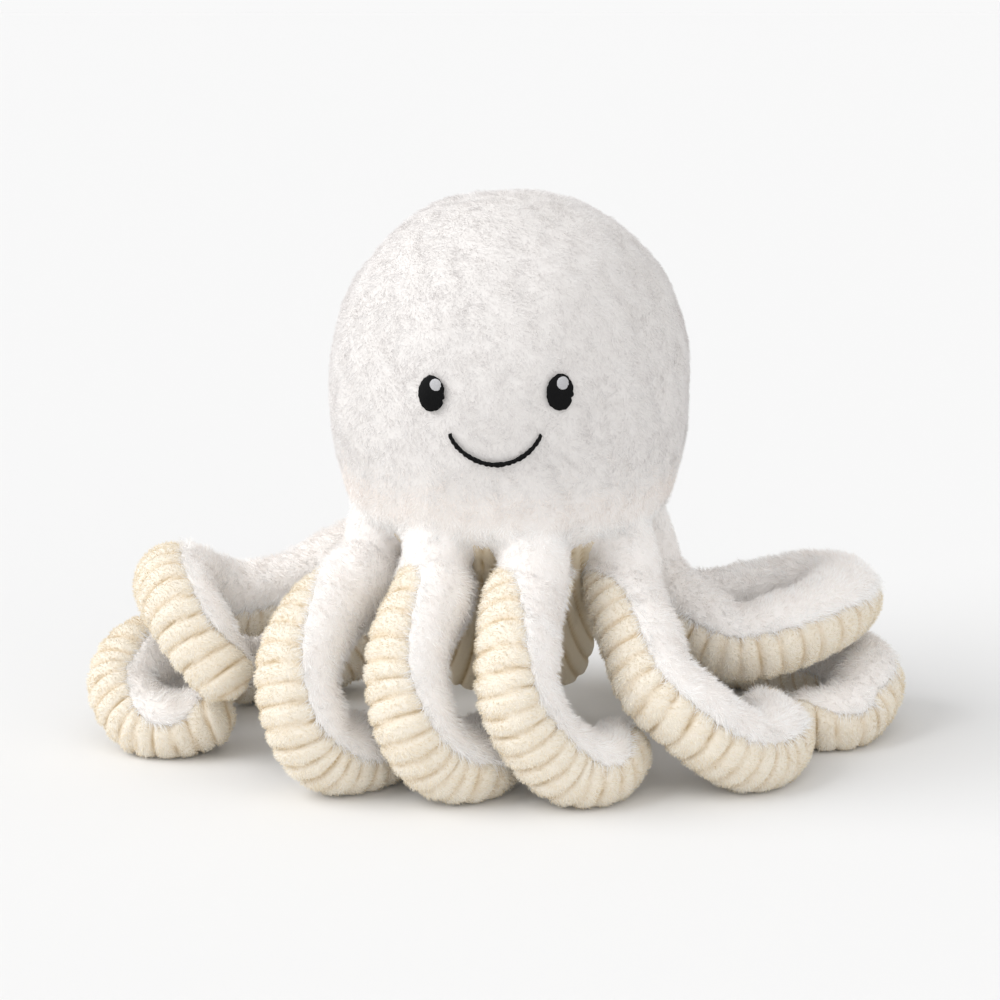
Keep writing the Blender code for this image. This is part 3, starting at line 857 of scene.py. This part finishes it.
@dataclass
class Arm:
    """One arm: its plush top with fur, its ribbed underside with nap, and its wadding."""

    number: int
    line: ArmLine
    outward: Vector
    wardrobe: Wardrobe
    start: float = -26 * MM
    wall: float = 2.5 * MM
    plush_rise: float = 1.0 * MM
    rib_pitch: float = 12.2 * MM
    rib_height: float = 2.6 * MM
    rib_drop: float = 0.9 * MM
    seam_dip: float = 1.2 * MM
    spill: float = 2.4
    seam_reach: float = 0.34
    tip_wrap: float = 30 * MM
    outer_cells: int = 26
    inner_cells: int = 8
    floor_gap: float = 0.3 * MM
    seam_overlap: float = 0.02
    scallop: float = 0.02
    tip_cells: float = 0.07
    lump_height: float = 0.5 * MM
    lump_patch: float = 30 * MM
    edging: float = 0.8
    groove_thinning: float = 0.75
    rib_wander: float = 0.07
    rib_bow: float = 0.08
    rib_cell: float = 1.6 * MM
    plush_cell: float = 2.0 * MM
    root_cover: float = 8 * MM
    pile: Pile = Pile(
        length=4.8 * MM, width=0.45 * MM, per_square_mm=0.80, lean=0.90, tuft=5 * MM,
        tuft_pull=0.7 * MM, swirl=0.5,
    )
    nap: Pile = Pile(
        length=2.5 * MM, width=0.54 * MM, per_square_mm=0.66, lean=0.75, tuft=3 * MM,
        tuft_pull=0.3 * MM, swirl=0.9, bury=0.3 * MM,
    )

    @property
    def columns(self) -> int:
        """Cells round a half skin: its outside, its inside and the two edges that join them."""
        return self.outer_cells + self.inner_cells + 2

    @property
    def body(self) -> str:
        """Name of the body that the arm swings with."""
        return f"arm_{self.number}"

    def seam_angle(self, distance: Array) -> Array:
        """Gives half the angle that the plush covers, which closes before the tip.

        Args:
            distance: Metres from the root.

        Returns:
            Angles in radians from the middle of the plush side.
        """
        end = self.line.full
        closing = smoothstep(end - self.tip_wrap, end + 0.4 * self.line.tip_thickness, distance)
        scallop = self.scallop * np.cos(2 * math.pi * self.line.cloth_distance(distance) / self.rib_pitch)
        half = math.pi / 2 * np.sqrt(np.clip(1 - closing, 0.0, 1.0))
        return half + self.seam_overlap + scallop * (1 - closing)

    def ends(self, distance: Array) -> Array:
        """Gives the rounding of both ends.

        Args:
            distance: Metres from the root.

        Returns:
            Shares of the radius, 0 at each end.
        """
        tip = self.line.tip_thickness / 2
        at_tip = np.clip((distance - self.line.full) / tip, 0.0, 1.0)
        back = np.clip(-distance / -self.start, 0.0, 1.0)
        return np.sqrt(1 - at_tip**2) * np.sqrt(1 - back**2)

    def spread(self, share: Array) -> Array:
        """Turns a share along the grid to a distance, with cells closer together at the ends.

        Args:
            share: Shares from 0 to 1.

        Returns:
            Distances in metres.
        """
        tip = self.line.tip_thickness / 2
        last = self.line.full
        cut = 1 - self.tip_cells
        straight = self.start + np.clip(share / cut, 0, 1) * (last - self.start)
        rounding = np.sin(np.clip((share - cut) / (1 - cut), 0, 1) * math.pi / 2) * tip
        return straight + rounding

    def section(self, share: Array, turn: Array, ribbed: bool) -> Tuple[Array, Dict[str, Array]]:
        """Places a half skin's vertices.

        Args:
            share: Shares from the root's end to the tip.
            turn: Shares round the half skin: its outside, an edge, its inside and the other edge.
            ribbed: True for the underside.

        Returns:
            The places, and the pile's comb, its length share, the groove's depth and its paleness.
        """
        distance = self.spread(share)
        place, heading, up, across = self.line.at(distance)
        column = np.round(turn * self.columns) % self.columns
        outside = column <= self.outer_cells
        inner = 1 - (column - self.outer_cells - 1) / self.inner_cells
        sweep = np.where(outside, column / self.outer_cells, inner) * 2 - 1
        seam = self.seam_angle(distance)
        half = math.pi - seam if ribbed else seam
        angle = sweep * half
        up = -up if ribbed else up
        across = -across if ribbed else across
        edge = np.abs(sweep)
        radius = self.line.radius(distance)
        dip = self.seam_dip * np.exp(-(((1 - edge) * half / self.seam_reach) ** 2))
        groove = np.zeros(len(distance))
        if ribbed:
            height, groove = self.ribs(distance, angle, edge)
            swell = height - dip * 0.6
        else:
            swell = self.plush_rise - dip
            swell = swell + self.lump_height * Drift(self.lump_patch, 40 + self.number).at(place)
        radius = np.where(outside, radius + swell, radius - self.wall)
        radius = np.maximum(radius, self.wall) * self.ends(distance)
        way = across * np.sin(angle)[:, None] + up * np.cos(angle)[:, None]
        places = place + way * radius[:, None]
        places = self.rest_on_floor(places, outside)
        round_way = across * np.cos(angle)[:, None] - up * np.sin(angle)[:, None]
        spill = np.sign(angle) * smoothstep(0.55, 1.0, edge) * self.spill
        comb = heading + round_way * spill[:, None]
        edging = self.edging * smoothstep(0.78, 1.0, edge) * (not ribbed)
        length = np.where(outside, 1.0 - self.groove_thinning * groove + edging, 0.0)
        # Paleness 1 gives the arms the paler backing, which is painted light.
        return places, {"comb": comb, "pile": length, "groove": groove, "pale": np.ones(len(groove))}

    def ribs(self, distance: Array, angle: Array, edge: Array) -> Tuple[Array, Array]:
        """Gives the puffed ribs.

        Args:
            distance: Metres from the root.
            angle: Angles from the middle of the underside.
            edge: 0 in the middle and 1 at the seams.

        Returns:
            Heights over the stuffed radius, and how deep in a groove each place is.
        """
        cloth = np.stack([distance, angle * self.line.thickness / 2, distance * 0], 1)
        wander = Drift(45 * MM, 70 + self.number).at(cloth) * self.rib_wander
        bow = self.rib_bow * np.sin(2 * angle + self.number)
        phase = self.line.cloth_distance(distance) / self.rib_pitch + wander + bow
        wave = np.abs(np.sin(math.pi * phase))
        depth = np.clip(0.85 + 0.16 * Drift(16 * MM, 90 + self.number).at(cloth), 0.4, 1.1)
        valley = (1 - wave) ** 2.0 * depth
        crown = 1 - 0.6 * edge**7
        height = self.rib_height * (1 - valley) * crown - self.rib_drop
        groove = np.clip(1 - wave / 0.6, 0.0, 1.0) ** 1.2 * depth
        return height, groove

    def rest_on_floor(self, places: Array, outside: Array) -> Array:
        """Flattens the skin where it presses on the floor.

        Args:
            places: Rows of points.
            outside: True for the points of the outer side.

        Returns:
            The points, none of them under the floor.
        """
        low = np.where(outside, self.floor_gap, self.floor_gap + self.wall)
        raised = places.copy()
        raised[:, 2] = np.maximum(places[:, 2], low)
        return raised

    def blend(self, piece: Object) -> None:
        """Bakes a piece's placement into its mesh.

        Args:
            piece: The piece.
        """
        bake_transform(piece)

    def skin(self, ribbed: bool) -> Object:
        """Makes and dresses one half skin.

        Args:
            ribbed: True for the underside.

        Returns:
            The object.
        """
        name = f"arm_{self.number}_{'ribbed_underside' if ribbed else 'plush_top'}"
        cell = self.rib_cell if ribbed else self.plush_cell
        along = round((self.line.full - self.start) / cell / (1 - self.tip_cells))
        mesh = wrapped(
            name, along, self.columns, lambda share, turn: self.section(share, turn, ribbed)
        )
        return add_piece(mesh, [self.wardrobe.ribs if ribbed else self.wardrobe.backing])

    def dress(self, piece: Object, ribbed: bool, inside: Callable[[Array], Array]) -> None:
        """Grows pile on a half skin, and bakes both in place.

        Args:
            piece: The skin.
            ribbed: True for the underside.
            inside: Tells how far under the body's skin points lie, in metres.
        """
        mesh = piece.data
        comb = read_vectors(mesh.attributes["comb"].data, "vector")
        share = np.empty(len(mesh.vertices), np.float32)
        mesh.attributes["pile"].data.foreach_get("value", share)
        coat = Coat.of(mesh, comb, share.astype(float), np.ones(len(share)))
        coat.share = coat.share * (inside(coat.places) < self.root_cover)
        if ribbed:
            coat.share = coat.share * smoothstep(0.5 * MM, 2 * MM, coat.places[:, 2])
            fur = self.nap.grow(f"arm_{self.number}_nap", coat, self.wardrobe.nap, 500 + self.number)
        else:
            coat.share = coat.share * smoothstep(0.5 * MM, 6 * MM, coat.places[:, 2])
            fur = self.pile.grow(f"arm_{self.number}_fur", coat, self.wardrobe.arm_fur_painted_light, 300 + self.number)
        side = "underside" if ribbed else "top"
        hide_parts(f"arm_{self.number}_{side}")
        for part in (piece, fur):
            self.blend(part)
        LOG.info("%s with %d strands", piece.name, len(fur.data.vertices) // 4)

    def stuff(self, filling: Object) -> None:
        """Puts in wadding of the filling's form.

        Args:
            filling: The node of the arm's filling.
        """
        shape = bmesh.new()
        shape.from_mesh(filling.data)
        shape.transform(filling.matrix_world)
        piece = add_piece(finish_mesh(shape, f"arm_{self.number}_wadding"), [self.wardrobe.wadding])
        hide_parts(filling.name)
        self.blend(piece)
        LOG.info("%s", piece.name)


@dataclass
class Body:
    """Head and body: one plush skin with fur, and the ribbed base that closes it."""

    axis: Vector
    arms: Sequence[ArmLine]
    wardrobe: Wardrobe
    radius: float = 105 * MM
    top: float = 330 * MM
    widest: float = 218 * MM
    tuck: float = 144 * MM
    neck: float = 146 * MM
    dome_fullness: float = 2.15
    lower_radius: float = 62 * MM
    rim_height: float = 52 * MM
    rise: float = 1.2 * MM
    rib_pitch: float = 12.2 * MM
    shoulder_length: float = 20 * MM
    shoulder_radius: float = 22 * MM
    voxel: float = 2.6 * MM
    pile: Pile = Pile(
        length=3.6 * MM, width=0.38 * MM, per_square_mm=1.00, lean=1.15, tuft=6 * MM,
        tuft_pull=0.25 * MM, swirl=0.8,
    )

    def outline(self) -> List[Tuple[float, float]]:
        """Gives the skin's outline from the top of the head to the middle of the base.

        Returns:
            Radius and height of each point.
        """
        points = []
        power = 2 / self.dome_fullness
        top = self.top - self.widest + self.rise
        for angle in np.radians(np.linspace(90, 0, 40)):
            radius = (self.radius + self.rise) * math.cos(angle) ** power
            points.append((max(radius, 0.0), self.widest + top * math.sin(angle) ** power))
        for drop in np.linspace(0, self.widest - self.neck, 20)[1:]:
            radius = (self.radius + self.rise) * math.sqrt(1 - (drop / self.tuck) ** 2)
            points.append((radius, self.widest - drop))
        for share, drop in ((1.38, 6), (1.24, 12), (1.10, 20), (1.0, 32), (0.92, 46), (0.80, 52)):
            points.append((self.lower_radius * share, self.neck - drop * MM))
        points.append((0.0, points[-1][1]))
        return points

    def shoulder(self, line: ArmLine) -> List[Tuple[Vector, float]]:
        """Fills the way from the head's cheek to the top of an arm's root.

        Args:
            line: The arm's line.

        Returns:
            Centres and radii of balls, from inside the head outwards.
        """
        outward = line.root - self.axis
        outward.z = 0.0
        place, heading, up, across = line.at(np.array([self.shoulder_length]))
        start = self.axis + outward * 0.80 + UP * (self.neck + 12 * MM)
        bend = line.root + outward * 0.10 + UP * 13 * MM
        end = Vector(place[0] + up[0] * 4.0 * MM)
        end_radius = float(line.radius(np.array([self.shoulder_length]))[0]) - 2.6 * MM
        balls = []
        for share in np.linspace(0, 1, 7):
            centre = start * (1 - share) ** 2 + bend * (2 * share * (1 - share)) + end * share**2
            balls.append((centre, self.shoulder_radius * (1 - share) + end_radius * share))
        return balls

    def stuffed_form(self) -> Object:
        """Makes the head with a shoulder over each arm's root, joined and smoothed.

        Returns:
            The object, with no material yet.
        """
        shape = bmesh.new()
        row = [shape.verts.new((radius, 0.0, height)) for radius, height in self.outline()]
        edges = [shape.edges.new(pair) for pair in zip(row, row[1:])]
        bmesh.ops.spin(
            shape, geom=[*row, *edges], cent=(0, 0, 0), axis=(0, 0, 1), dvec=(0, 0, 0),
            angle=2 * math.pi, steps=96, use_merge=True, use_duplicate=False,
        )
        bmesh.ops.translate(shape, verts=shape.verts, vec=self.axis)
        bmesh.ops.remove_doubles(shape, verts=shape.verts, dist=MERGE)
        bmesh.ops.recalc_face_normals(shape, faces=shape.faces)
        for line in self.arms:
            for centre, radius in self.shoulder(line):
                bmesh.ops.create_uvsphere(
                    shape, u_segments=24, v_segments=14, radius=radius, matrix=Matrix.Translation(centre)
                )
        mesh = bpy.data.meshes.new("head_plush")
        shape.to_mesh(mesh)
        shape.free()
        piece = add_piece(mesh, [])
        remesh = piece.modifiers.new("weld", "REMESH")
        remesh.mode = "VOXEL"
        remesh.voxel_size = self.voxel
        smooth = piece.modifiers.new("settle", "SMOOTH")
        smooth.factor = 0.5
        smooth.iterations = 14
        graph = bpy.context.evaluated_depsgraph_get()
        piece.data = bpy.data.meshes.new_from_object(piece.evaluated_get(graph))
        piece.modifiers.clear()
        piece.data.name = "head_plush"
        return piece

    def ripple(self, piece: Object) -> None:
        """Gives the stuffed skin its slight unevenness.

        Args:
            piece: The skin.
        """
        mesh = piece.data
        places = read_vectors(mesh.vertices, "co")
        normals = read_vectors(mesh.vertices, "normal")
        lumps = Drift(55 * MM, 11).at(places) * 0.55 * MM + Drift(18 * MM, 12).at(places) * 0.22 * MM
        places += normals * lumps[:, None]
        mesh.vertices.foreach_set("co", places.astype(np.float32).ravel())
        mesh.update()
        mesh.shade_smooth()

    def make(self, clear_of_face: Callable[[Array], Array]) -> Object:
        """Makes the head's skin and its fur.

        Args:
            clear_of_face: Gives the distance of points to the stitched face, in metres.

        Returns:
            The skin.
        """
        piece = self.stuffed_form()
        self.ripple(piece)
        piece.data.materials.clear()
        piece.data.materials.append(self.wardrobe.backing)
        places = read_vectors(piece.data.vertices, "co")
        comb = np.tile((0.0, 0.0, -1.0), (len(places), 1))
        around = places - np.array(self.axis)
        comb[:, :2] += unit(around[:, :2]) * smoothstep(0.27, 0.34, places[:, 2])[:, None]
        share = smoothstep(0.0, 4 * MM, clear_of_face(places)) * 0.4 + 0.6
        share *= clear_of_face(places) > -0.3 * MM
        share *= self.outside_bowl(places)
        share *= 1 + 0.5 * smoothstep(12 * MM, 0, np.abs(places[:, 2] - self.neck))
        for line in self.arms:
            share *= self.outside_arm(line, places)
        # Towards the shoulders the head's fur and backing move to the arms' paler shades, which are painted
        # light.
        pale = smoothstep(self.neck + 50 * MM, self.neck - 14 * MM, places[:, 2])
        piece.data.attributes.new("pale", "FLOAT", "POINT").data.foreach_set("value", pale.astype(np.float32))
        self.grow_in_quarters(Coat.of(piece.data, comb, share, pale))
        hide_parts("head_cover")
        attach(piece, "body")
        return piece

    def outside_arm(self, line: ArmLine, places: Array) -> Array:
        """Tells which points are not covered by an arm.

        Args:
            line: The arm's line.
            places: Rows of points.

        Returns:
            1 outside the arm and 0 inside it.
        """
        distance = np.linspace(0, 0.06, 16)
        centres = line.at(distance)[0]
        gap = np.linalg.norm(places[:, None] - centres[None], axis=2) - line.radius(distance)[None]
        return (gap.min(1) > -2 * MM).astype(float)

    def grow_in_quarters(self, coat: Coat) -> None:
        """Grows the head's fur as four pieces, each well under the limit on faces.

        Args:
            coat: The head's coat.
        """
        centre = coat.places[coat.triangles].mean(1) - np.array(self.axis)
        side = (centre[:, 0] > 0).astype(int) + 2 * (centre[:, 1] > 0).astype(int)
        for number, name in enumerate(("front_left", "front_right", "back_left", "back_right")):
            part = replace(coat, triangles=coat.triangles[side == number])
            shades = self.wardrobe.fur + self.wardrobe.arm_fur_painted_light
            fur = self.pile.grow(f"head_fur_{name}", part, shades, 100)
            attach(fur, "body")
            LOG.info("%s with %d strands", fur.name, len(fur.data.vertices) // 4)

    def bowl_outline(self) -> Array:
        """Gives the bowl's outer side from the middle underneath up to where the arms start.

        Returns:
            Rows of radius and height.
        """
        side = (
            (0.0, -20.4), (14.7, -19.1), (29.3, -15.6), (40.0, -12.0), (45.5, -8.6), (51.5, 11.0),
            (57.8, 39.5), (60.2, 50.0), (63.8, 62.0), (70.0, 74.0), (77.0, 82.0), (82.0, 87.0), (84.0, 92.0),
        )
        return smooth_curve(np.array(side) * MM + (0.0, self.rim_height), 8)

    def outside_bowl(self, places: Array) -> Array:
        """Tells which points are not covered by the ribbed bowl.

        Args:
            places: Rows of points.

        Returns:
            1 outside the bowl and 0 inside it.
        """
        run = self.bowl_outline()
        around = places - np.array(self.axis)
        radius = np.hypot(around[:, 0], around[:, 1])
        limit = np.interp(around[:, 2], run[:, 1], run[:, 0])
        return ((radius > limit + 0.5 * MM) | (around[:, 2] > run[-1, 1])).astype(float)

    def base(self) -> Object:
        """Makes the ribbed bowl under the toy, in a darker copy of the ribbed cloth that is painted shade.

        Returns:
            The object.
        """
        run = self.bowl_outline()
        cloth = np.concatenate([[0.0], np.cumsum(np.linalg.norm(np.diff(run, axis=0), axis=1))])
        slope = unit(np.gradient(run, cloth, axis=0))
        outward = np.stack([slope[:, 1], -slope[:, 0]], 1)

        def place(share: Array, turn: Array) -> Tuple[Array, Dict[str, Array]]:
            outer = share < 0.5
            reach = np.where(outer, share, 1 - share) * 2 * cloth[-1]
            angle = turn * 2 * math.pi
            wave = np.abs(np.sin(math.pi * (reach * np.cos(angle) / self.rib_pitch + 0.5)))
            ribs = 2.4 * MM * (1 - (1 - wave) ** 2) * smoothstep(0, 6 * MM, cloth[-1] - reach)
            lift = np.where(outer, ribs - 1 * MM, -2.5 * MM * smoothstep(0, 4 * MM, cloth[-1] - reach))
            radius, height = (
                np.interp(reach, cloth, run[:, k]) + np.interp(reach, cloth, outward[:, k]) * lift
                for k in (0, 1)
            )
            radius = np.maximum(radius, 0) * (reach > 0)
            places = np.stack([radius * np.cos(angle), radius * np.sin(angle), height], 1)
            return places + np.array(self.axis), {"groove": np.clip(1 - wave / 0.62, 0, 1) ** 1.2}

        piece = add_piece(wrapped("base_ribbed_bowl", 180, 230, place), [self.wardrobe.base_ribs_painted_shade])
        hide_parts("base_panel")
        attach(piece, "body")
        LOG.info("%s", piece.name)
        return piece


@dataclass
class Face:
    """The stitched face. Its places are read on the head's skin."""

    axis: Vector
    radius: float
    wardrobe: Wardrobe
    turn: float = -4.6
    eye_turn: float = 19.2
    eye_height: float = 229 * MM
    eye_width: float = 15.4 * MM
    eye_tall: float = 20.0 * MM
    highlight_width: float = 6.8 * MM
    highlight_shares: Tuple[float, float] = (0.12, 0.25)
    highlight_spread: float = 0.05
    eye_skew: float = 0.8 * MM
    smile_width: float = 50 * MM
    smile_drop: float = 16.5 * MM
    smile_height: float = 190.7 * MM
    smile_line: float = 2.7 * MM
    thread_lift: float = 2.2 * MM
    fray: float = 0.010
    notches: Tuple[Tuple[float, float], ...] = ((0.05, 0.09), (-0.50, 0.13))

    def flat(self, places: Array) -> Array:
        """Rolls the head's front out flat: across and up from the middle of the face.

        Args:
            places: Rows of points.

        Returns:
            Rows of two numbers in metres. Points at the back lie far away.
        """
        around = places - np.array(self.axis)
        angle = np.arctan2(around[:, 0], -around[:, 1]) - math.radians(self.turn)
        return np.stack([angle * self.radius, places[:, 2]], 1)

    def clear_of(self, places: Array) -> Array:
        """Gives the distance of points to the nearest stitching.

        Args:
            places: Rows of points.

        Returns:
            Distances in metres, below zero on the stitching.
        """
        spots = self.flat(places)
        nearest = np.full(len(spots), 1.0)
        for side in (-1, 1):
            x = spots[:, 0] - side * math.radians(self.eye_turn) * self.radius
            z = spots[:, 1] - self.eye_height - (1 + side) * self.eye_skew
            size = np.hypot(x / self.eye_width * 2, z / self.eye_tall * 2)
            nearest = np.minimum(nearest, (size - 1) * self.eye_width / 2)
        run = self.smile_line_at(np.linspace(-1, 1, 41))[0]
        gap = np.linalg.norm(spots[:, None] - run[None], axis=2).min(1) - self.smile_line / 2
        return np.minimum(nearest, gap)

    def sew(
        self, name: str, skin: BVHTree, cells: Tuple[int, int], plan: Callable[[Array, Array], Array],
        material: Material, node: str, wall: float = 1.6 * MM,
    ) -> Object:
        """Lays a stitched patch on the head.

        Args:
            name: The new object's name.
            skin: The head's skin.
            cells: Cells across and up.
            plan: Gives across, up and height over the skin, for shares from -1 to 1.
            material: The thread.
            node: The CAD node that it stands for.
            wall: Thickness of the stitching.

        Returns:
            The object.
        """
        shape = bmesh.new()
        bmesh.ops.create_grid(shape, x_segments=cells[0], y_segments=cells[1], size=1.0)
        flat = np.array([vert.co[:2] for vert in shape.verts])
        across, up, lift = plan(flat[:, 0], flat[:, 1]).T
        for i, vert in enumerate(shape.verts):
            angle = across[i] / self.radius + math.radians(self.turn)
            inward = Vector((-math.sin(angle), math.cos(angle), 0.0))
            start = Vector((self.axis.x, self.axis.y, up[i])) - inward * 0.2
            hit, normal, index, distance = skin.ray_cast(start, inward)
            vert.co = hit + normal * lift[i]
        bmesh.ops.recalc_face_normals(shape, faces=shape.faces)
        mesh = finish_mesh(shape, name)
        piece = add_piece(mesh, [material])
        thick = piece.modifiers.new("thread", "SOLIDIFY")
        thick.thickness = wall
        thick.offset = -1.0 if mesh.polygons[0].normal.y < 0 else 1.0
        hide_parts(node)
        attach(piece, "body")
        LOG.info("%s", name)
        return piece

    def oval(
        self, side: int, size: Tuple[float, float], shift: Tuple[float, float], lift: float, dome: float
    ) -> Callable[[Array, Array], Array]:
        """Plans a domed satin-stitched oval.

        Args:
            side: -1 for the left eye and 1 for the right one.
            size: Width and height.
            shift: How far it lies right of and above the eye's middle.
            lift: Height of its edge over the skin.
            dome: How much higher its middle is.

        Returns:
            The plan.
        """

        def plan(x: Array, y: Array) -> Array:
            across = size[0] / 2 * x * np.sqrt(1 - y * y / 2)
            up = size[1] / 2 * y * np.sqrt(1 - x * x / 2)
            out = np.clip(np.hypot(across / size[0] * 2, up / size[1] * 2), 0, 1)
            way = np.arctan2(up, across)
            waves = np.sin(5 * way + side) + np.sin(11 * way + 2) + np.sin(19 * way)
            frayed = 1 + self.fray * out**2 * waves
            for notch, bite in self.notches:
                frayed -= bite * out**2 * np.exp(-(((way - notch) / 0.12) ** 2))
            across, up = across * frayed, up * frayed
            ridge = 0.14 * MM * np.abs(np.sin(across / (0.5 * MM) * math.pi / 2))
            height = lift + dome * np.sqrt(1 - 0.98 * out**2) + ridge * (1 - out**4)
            centre = side * math.radians(self.eye_turn) * self.radius
            level = self.eye_height + (1 + side) * self.eye_skew
            return np.stack([across + centre + shift[0], up + level + shift[1], height], 1)

        return plan

    def smile_line_at(self, share: Array) -> Tuple[Array, Array]:
        """Reads the smile, an arc of a circle.

        Args:
            share: Shares along it from -1 to 1.

        Returns:
            Places as across and up, and the slope's angle.
        """
        half = self.smile_width / 2
        radius = (half**2 + self.smile_drop**2) / (2 * self.smile_drop)
        angle = share * math.asin(half / radius)
        up = self.smile_height + radius * (1 - np.cos(angle))
        return np.stack([radius * np.sin(angle), up], 1), angle

    def smile(self, x: Array, y: Array) -> Array:
        """Plans the line of the smile: slanting satin stitches, widest in the middle.

        Args:
            x: Shares along it from -1 to 1.
            y: Shares across it from -1 to 1.

        Returns:
            Across, up and height over the skin.
        """
        places, angle = self.smile_line_at(x)
        stitch = 1 + 0.10 * np.sin(x * 64 + y) + 0.14 * np.sin(x * 9 + 1) * np.sin(x * 23)
        half = self.smile_line / 2 * y * (1 - 0.35 * x**6) * stitch
        across = places[:, 0] - half * np.sin(angle)
        up = places[:, 1] + half * np.cos(angle)
        lift = self.thread_lift + 0.8 * MM * np.sqrt(1 - 0.96 * y * y) + 0.15 * MM * np.sin(x * 64 + y)
        return np.stack([across, up, lift], 1)

    def make(self, skin: BVHTree) -> None:
        """Makes the eyes, their highlights and the smile.

        Args:
            skin: The head's skin.
        """
        for side, word in ((-1, "left"), (1, "right")):
            self.sew(
                f"eye_{word}_stitching", skin, (44, 44),
                self.oval(side, (self.eye_width, self.eye_tall), (0, 0), self.thread_lift, 1.3 * MM),
                self.wardrobe.black, f"eye_{word}", 2.6 * MM,
            )
            along, up = self.highlight_shares
            shift = ((along - side * self.highlight_spread) * self.eye_width, up * self.eye_tall)
            round_size = (self.highlight_width, self.highlight_width)
            self.sew(
                f"eye_{word}_highlight_stitching", skin, (24, 24),
                self.oval(side, round_size, shift, self.thread_lift + 1.1 * MM, 0.7 * MM),
                self.wardrobe.grey, f"eye_highlight_{word}", 1.2 * MM,
            )
        self.sew(
            "smile_stitching", skin, (160, 6), self.smile,
            self.wardrobe.black, "smile", 2.2 * MM,
        )


@dataclass
class Studio:
    """Pale floor, soft light and the camera at the photograph's angle."""

    axis: Vector
    floor_colour: str = "ECECEC"
    key_from: Tuple[float, float, float] = (-0.77, -0.19, 0.61)
    fill_from: Tuple[float, float, float] = (0.30, -0.72, 0.63)
    backdrop: str = "F9F9F9"
    surround: float = 0.59
    key: float = 2.00
    fill: float = 0.72
    elevation: float = 12.5
    distance: float = 1.417
    target_height: float = 0.147
    focal_length: float = 85.0

    def camera(self) -> None:
        """Puts the camera where the photograph was taken from."""
        data = bpy.data.cameras.new("camera")
        data.lens = self.focal_length
        camera = bpy.data.objects.new("camera", data)
        lift = math.radians(self.elevation)
        target = Vector((0.0, self.axis.y, self.target_height))
        camera.location = target + Vector((0.0, -math.cos(lift), math.sin(lift))) * self.distance
        camera.rotation_euler = (math.pi / 2 - lift, 0.0, 0.0)
        bpy.context.scene.collection.objects.link(camera)
        bpy.context.scene.camera = camera

    def floor(self) -> None:
        """Makes the pale floor."""
        shape = bmesh.new()
        bmesh.ops.create_grid(shape, x_segments=1, y_segments=1, size=30.0)
        mesh = finish_mesh(shape, "floor")
        values = {"Base Color": linear(self.floor_colour), "Roughness": 0.9, "Specular IOR Level": 0.1}
        material = start_material("pale_floor", values)[0]
        add_piece(mesh, [material])

    def light(self) -> None:
        """Sets an even surround, a soft key light from the upper left and a weak broad front fill."""
        world = bpy.data.worlds.new("surround")
        bpy.context.scene.world = world
        world.use_nodes = True
        tree = world.node_tree
        surround = tree.nodes["Background"]
        surround.inputs["Color"].default_value = linear("FFFFFF")
        surround.inputs["Strength"].default_value = self.surround
        backdrop = add_node(tree, "ShaderNodeBackground", {"Color": linear(self.backdrop), "Strength": 1.0})
        path = add_node(tree, "ShaderNodeLightPath")
        seen = path.outputs["Is Camera Ray"]
        for ray in ("Is Glossy Ray", "Is Transmission Ray"):
            seen = add_node(
                tree, "ShaderNodeMath", links={0: seen, 1: path.outputs[ray]}, operation="MAXIMUM"
            ).outputs[0]
        choice = add_node(
            tree, "ShaderNodeMixShader", links={0: seen, 1: surround.outputs[0], 2: backdrop.outputs[0]},
        )
        tree.links.new(choice.outputs[0], tree.nodes["World Output"].inputs["Surface"])
        lamps = (("key", self.key, self.key_from, 50), ("fill", self.fill, self.fill_from, 80))
        for name, energy, way, spread in lamps:
            sun = bpy.data.lights.new(name, "SUN")
            sun.energy = energy
            sun.angle = math.radians(spread)
            lamp = bpy.data.objects.new(name, sun)
            lamp.rotation_euler = Vector(way).to_track_quat("Z", "Y").to_euler()
            bpy.context.scene.collection.objects.link(lamp)

    def make(self) -> None:
        """Sets the whole studio."""
        bpy.context.scene.view_settings.view_transform = "Standard"
        self.camera()
        self.floor()
        self.light()


def depth_under(skin: BVHTree) -> Callable[[Array], Array]:
    """Makes a test for how far under a skin points lie.

    Args:
        skin: The closed skin.

    Returns:
        The test. It gives metres, below zero outside.
    """

    def depth(places: Array) -> Array:
        found = np.full(len(places), -1.0)
        for i, place in enumerate(places):
            hit, normal, index, distance = skin.find_nearest(Vector(place), 0.03)
            if hit is not None:
                found[i] = (hit - Vector(place)).dot(normal)
        return found

    return depth


def main() -> None:
    """Builds the toy's looks and the studio."""
    logging.basicConfig(level=logging.INFO, format="%(message)s")
    wardrobe = Wardrobe()
    joints = {joint["child"]: joint for joint in frame["joints"]}
    roots = {number: Vector(joints[f"arm_{number}"]["pos_m"]) for number in range(1, 9)}
    axis = sum(roots.values(), Vector()) / len(roots)
    axis.z = 0.0
    Studio(axis).make()

    lines = {n: ArmLine(roots[n], ARM_PATH_SHARES[n - 1]) for n in roots}
    body = Body(axis, list(lines.values()), wardrobe)
    face = Face(axis, body.radius, wardrobe)
    head = body.make(face.clear_of)
    body.base()
    graph = bpy.context.evaluated_depsgraph_get()
    skin = BVHTree.FromObject(head, graph)
    face.make(skin)
    inside = depth_under(skin)
    for number, line in lines.items():
        outward = (roots[number] - axis) * Vector((1, 1, 0))
        arm = Arm(number, line, outward.normalized(), wardrobe)
        for ribbed in (False, True):
            arm.dress(arm.skin(ribbed), ribbed, inside)
        arm.stuff(frame["nodes"][f"arm_{number}_filling"])

    filling = frame["nodes"]["head_filling"]
    filling.data.materials.clear()
    filling.data.materials.append(wardrobe.wadding)


if __name__ == "__main__":
    main()
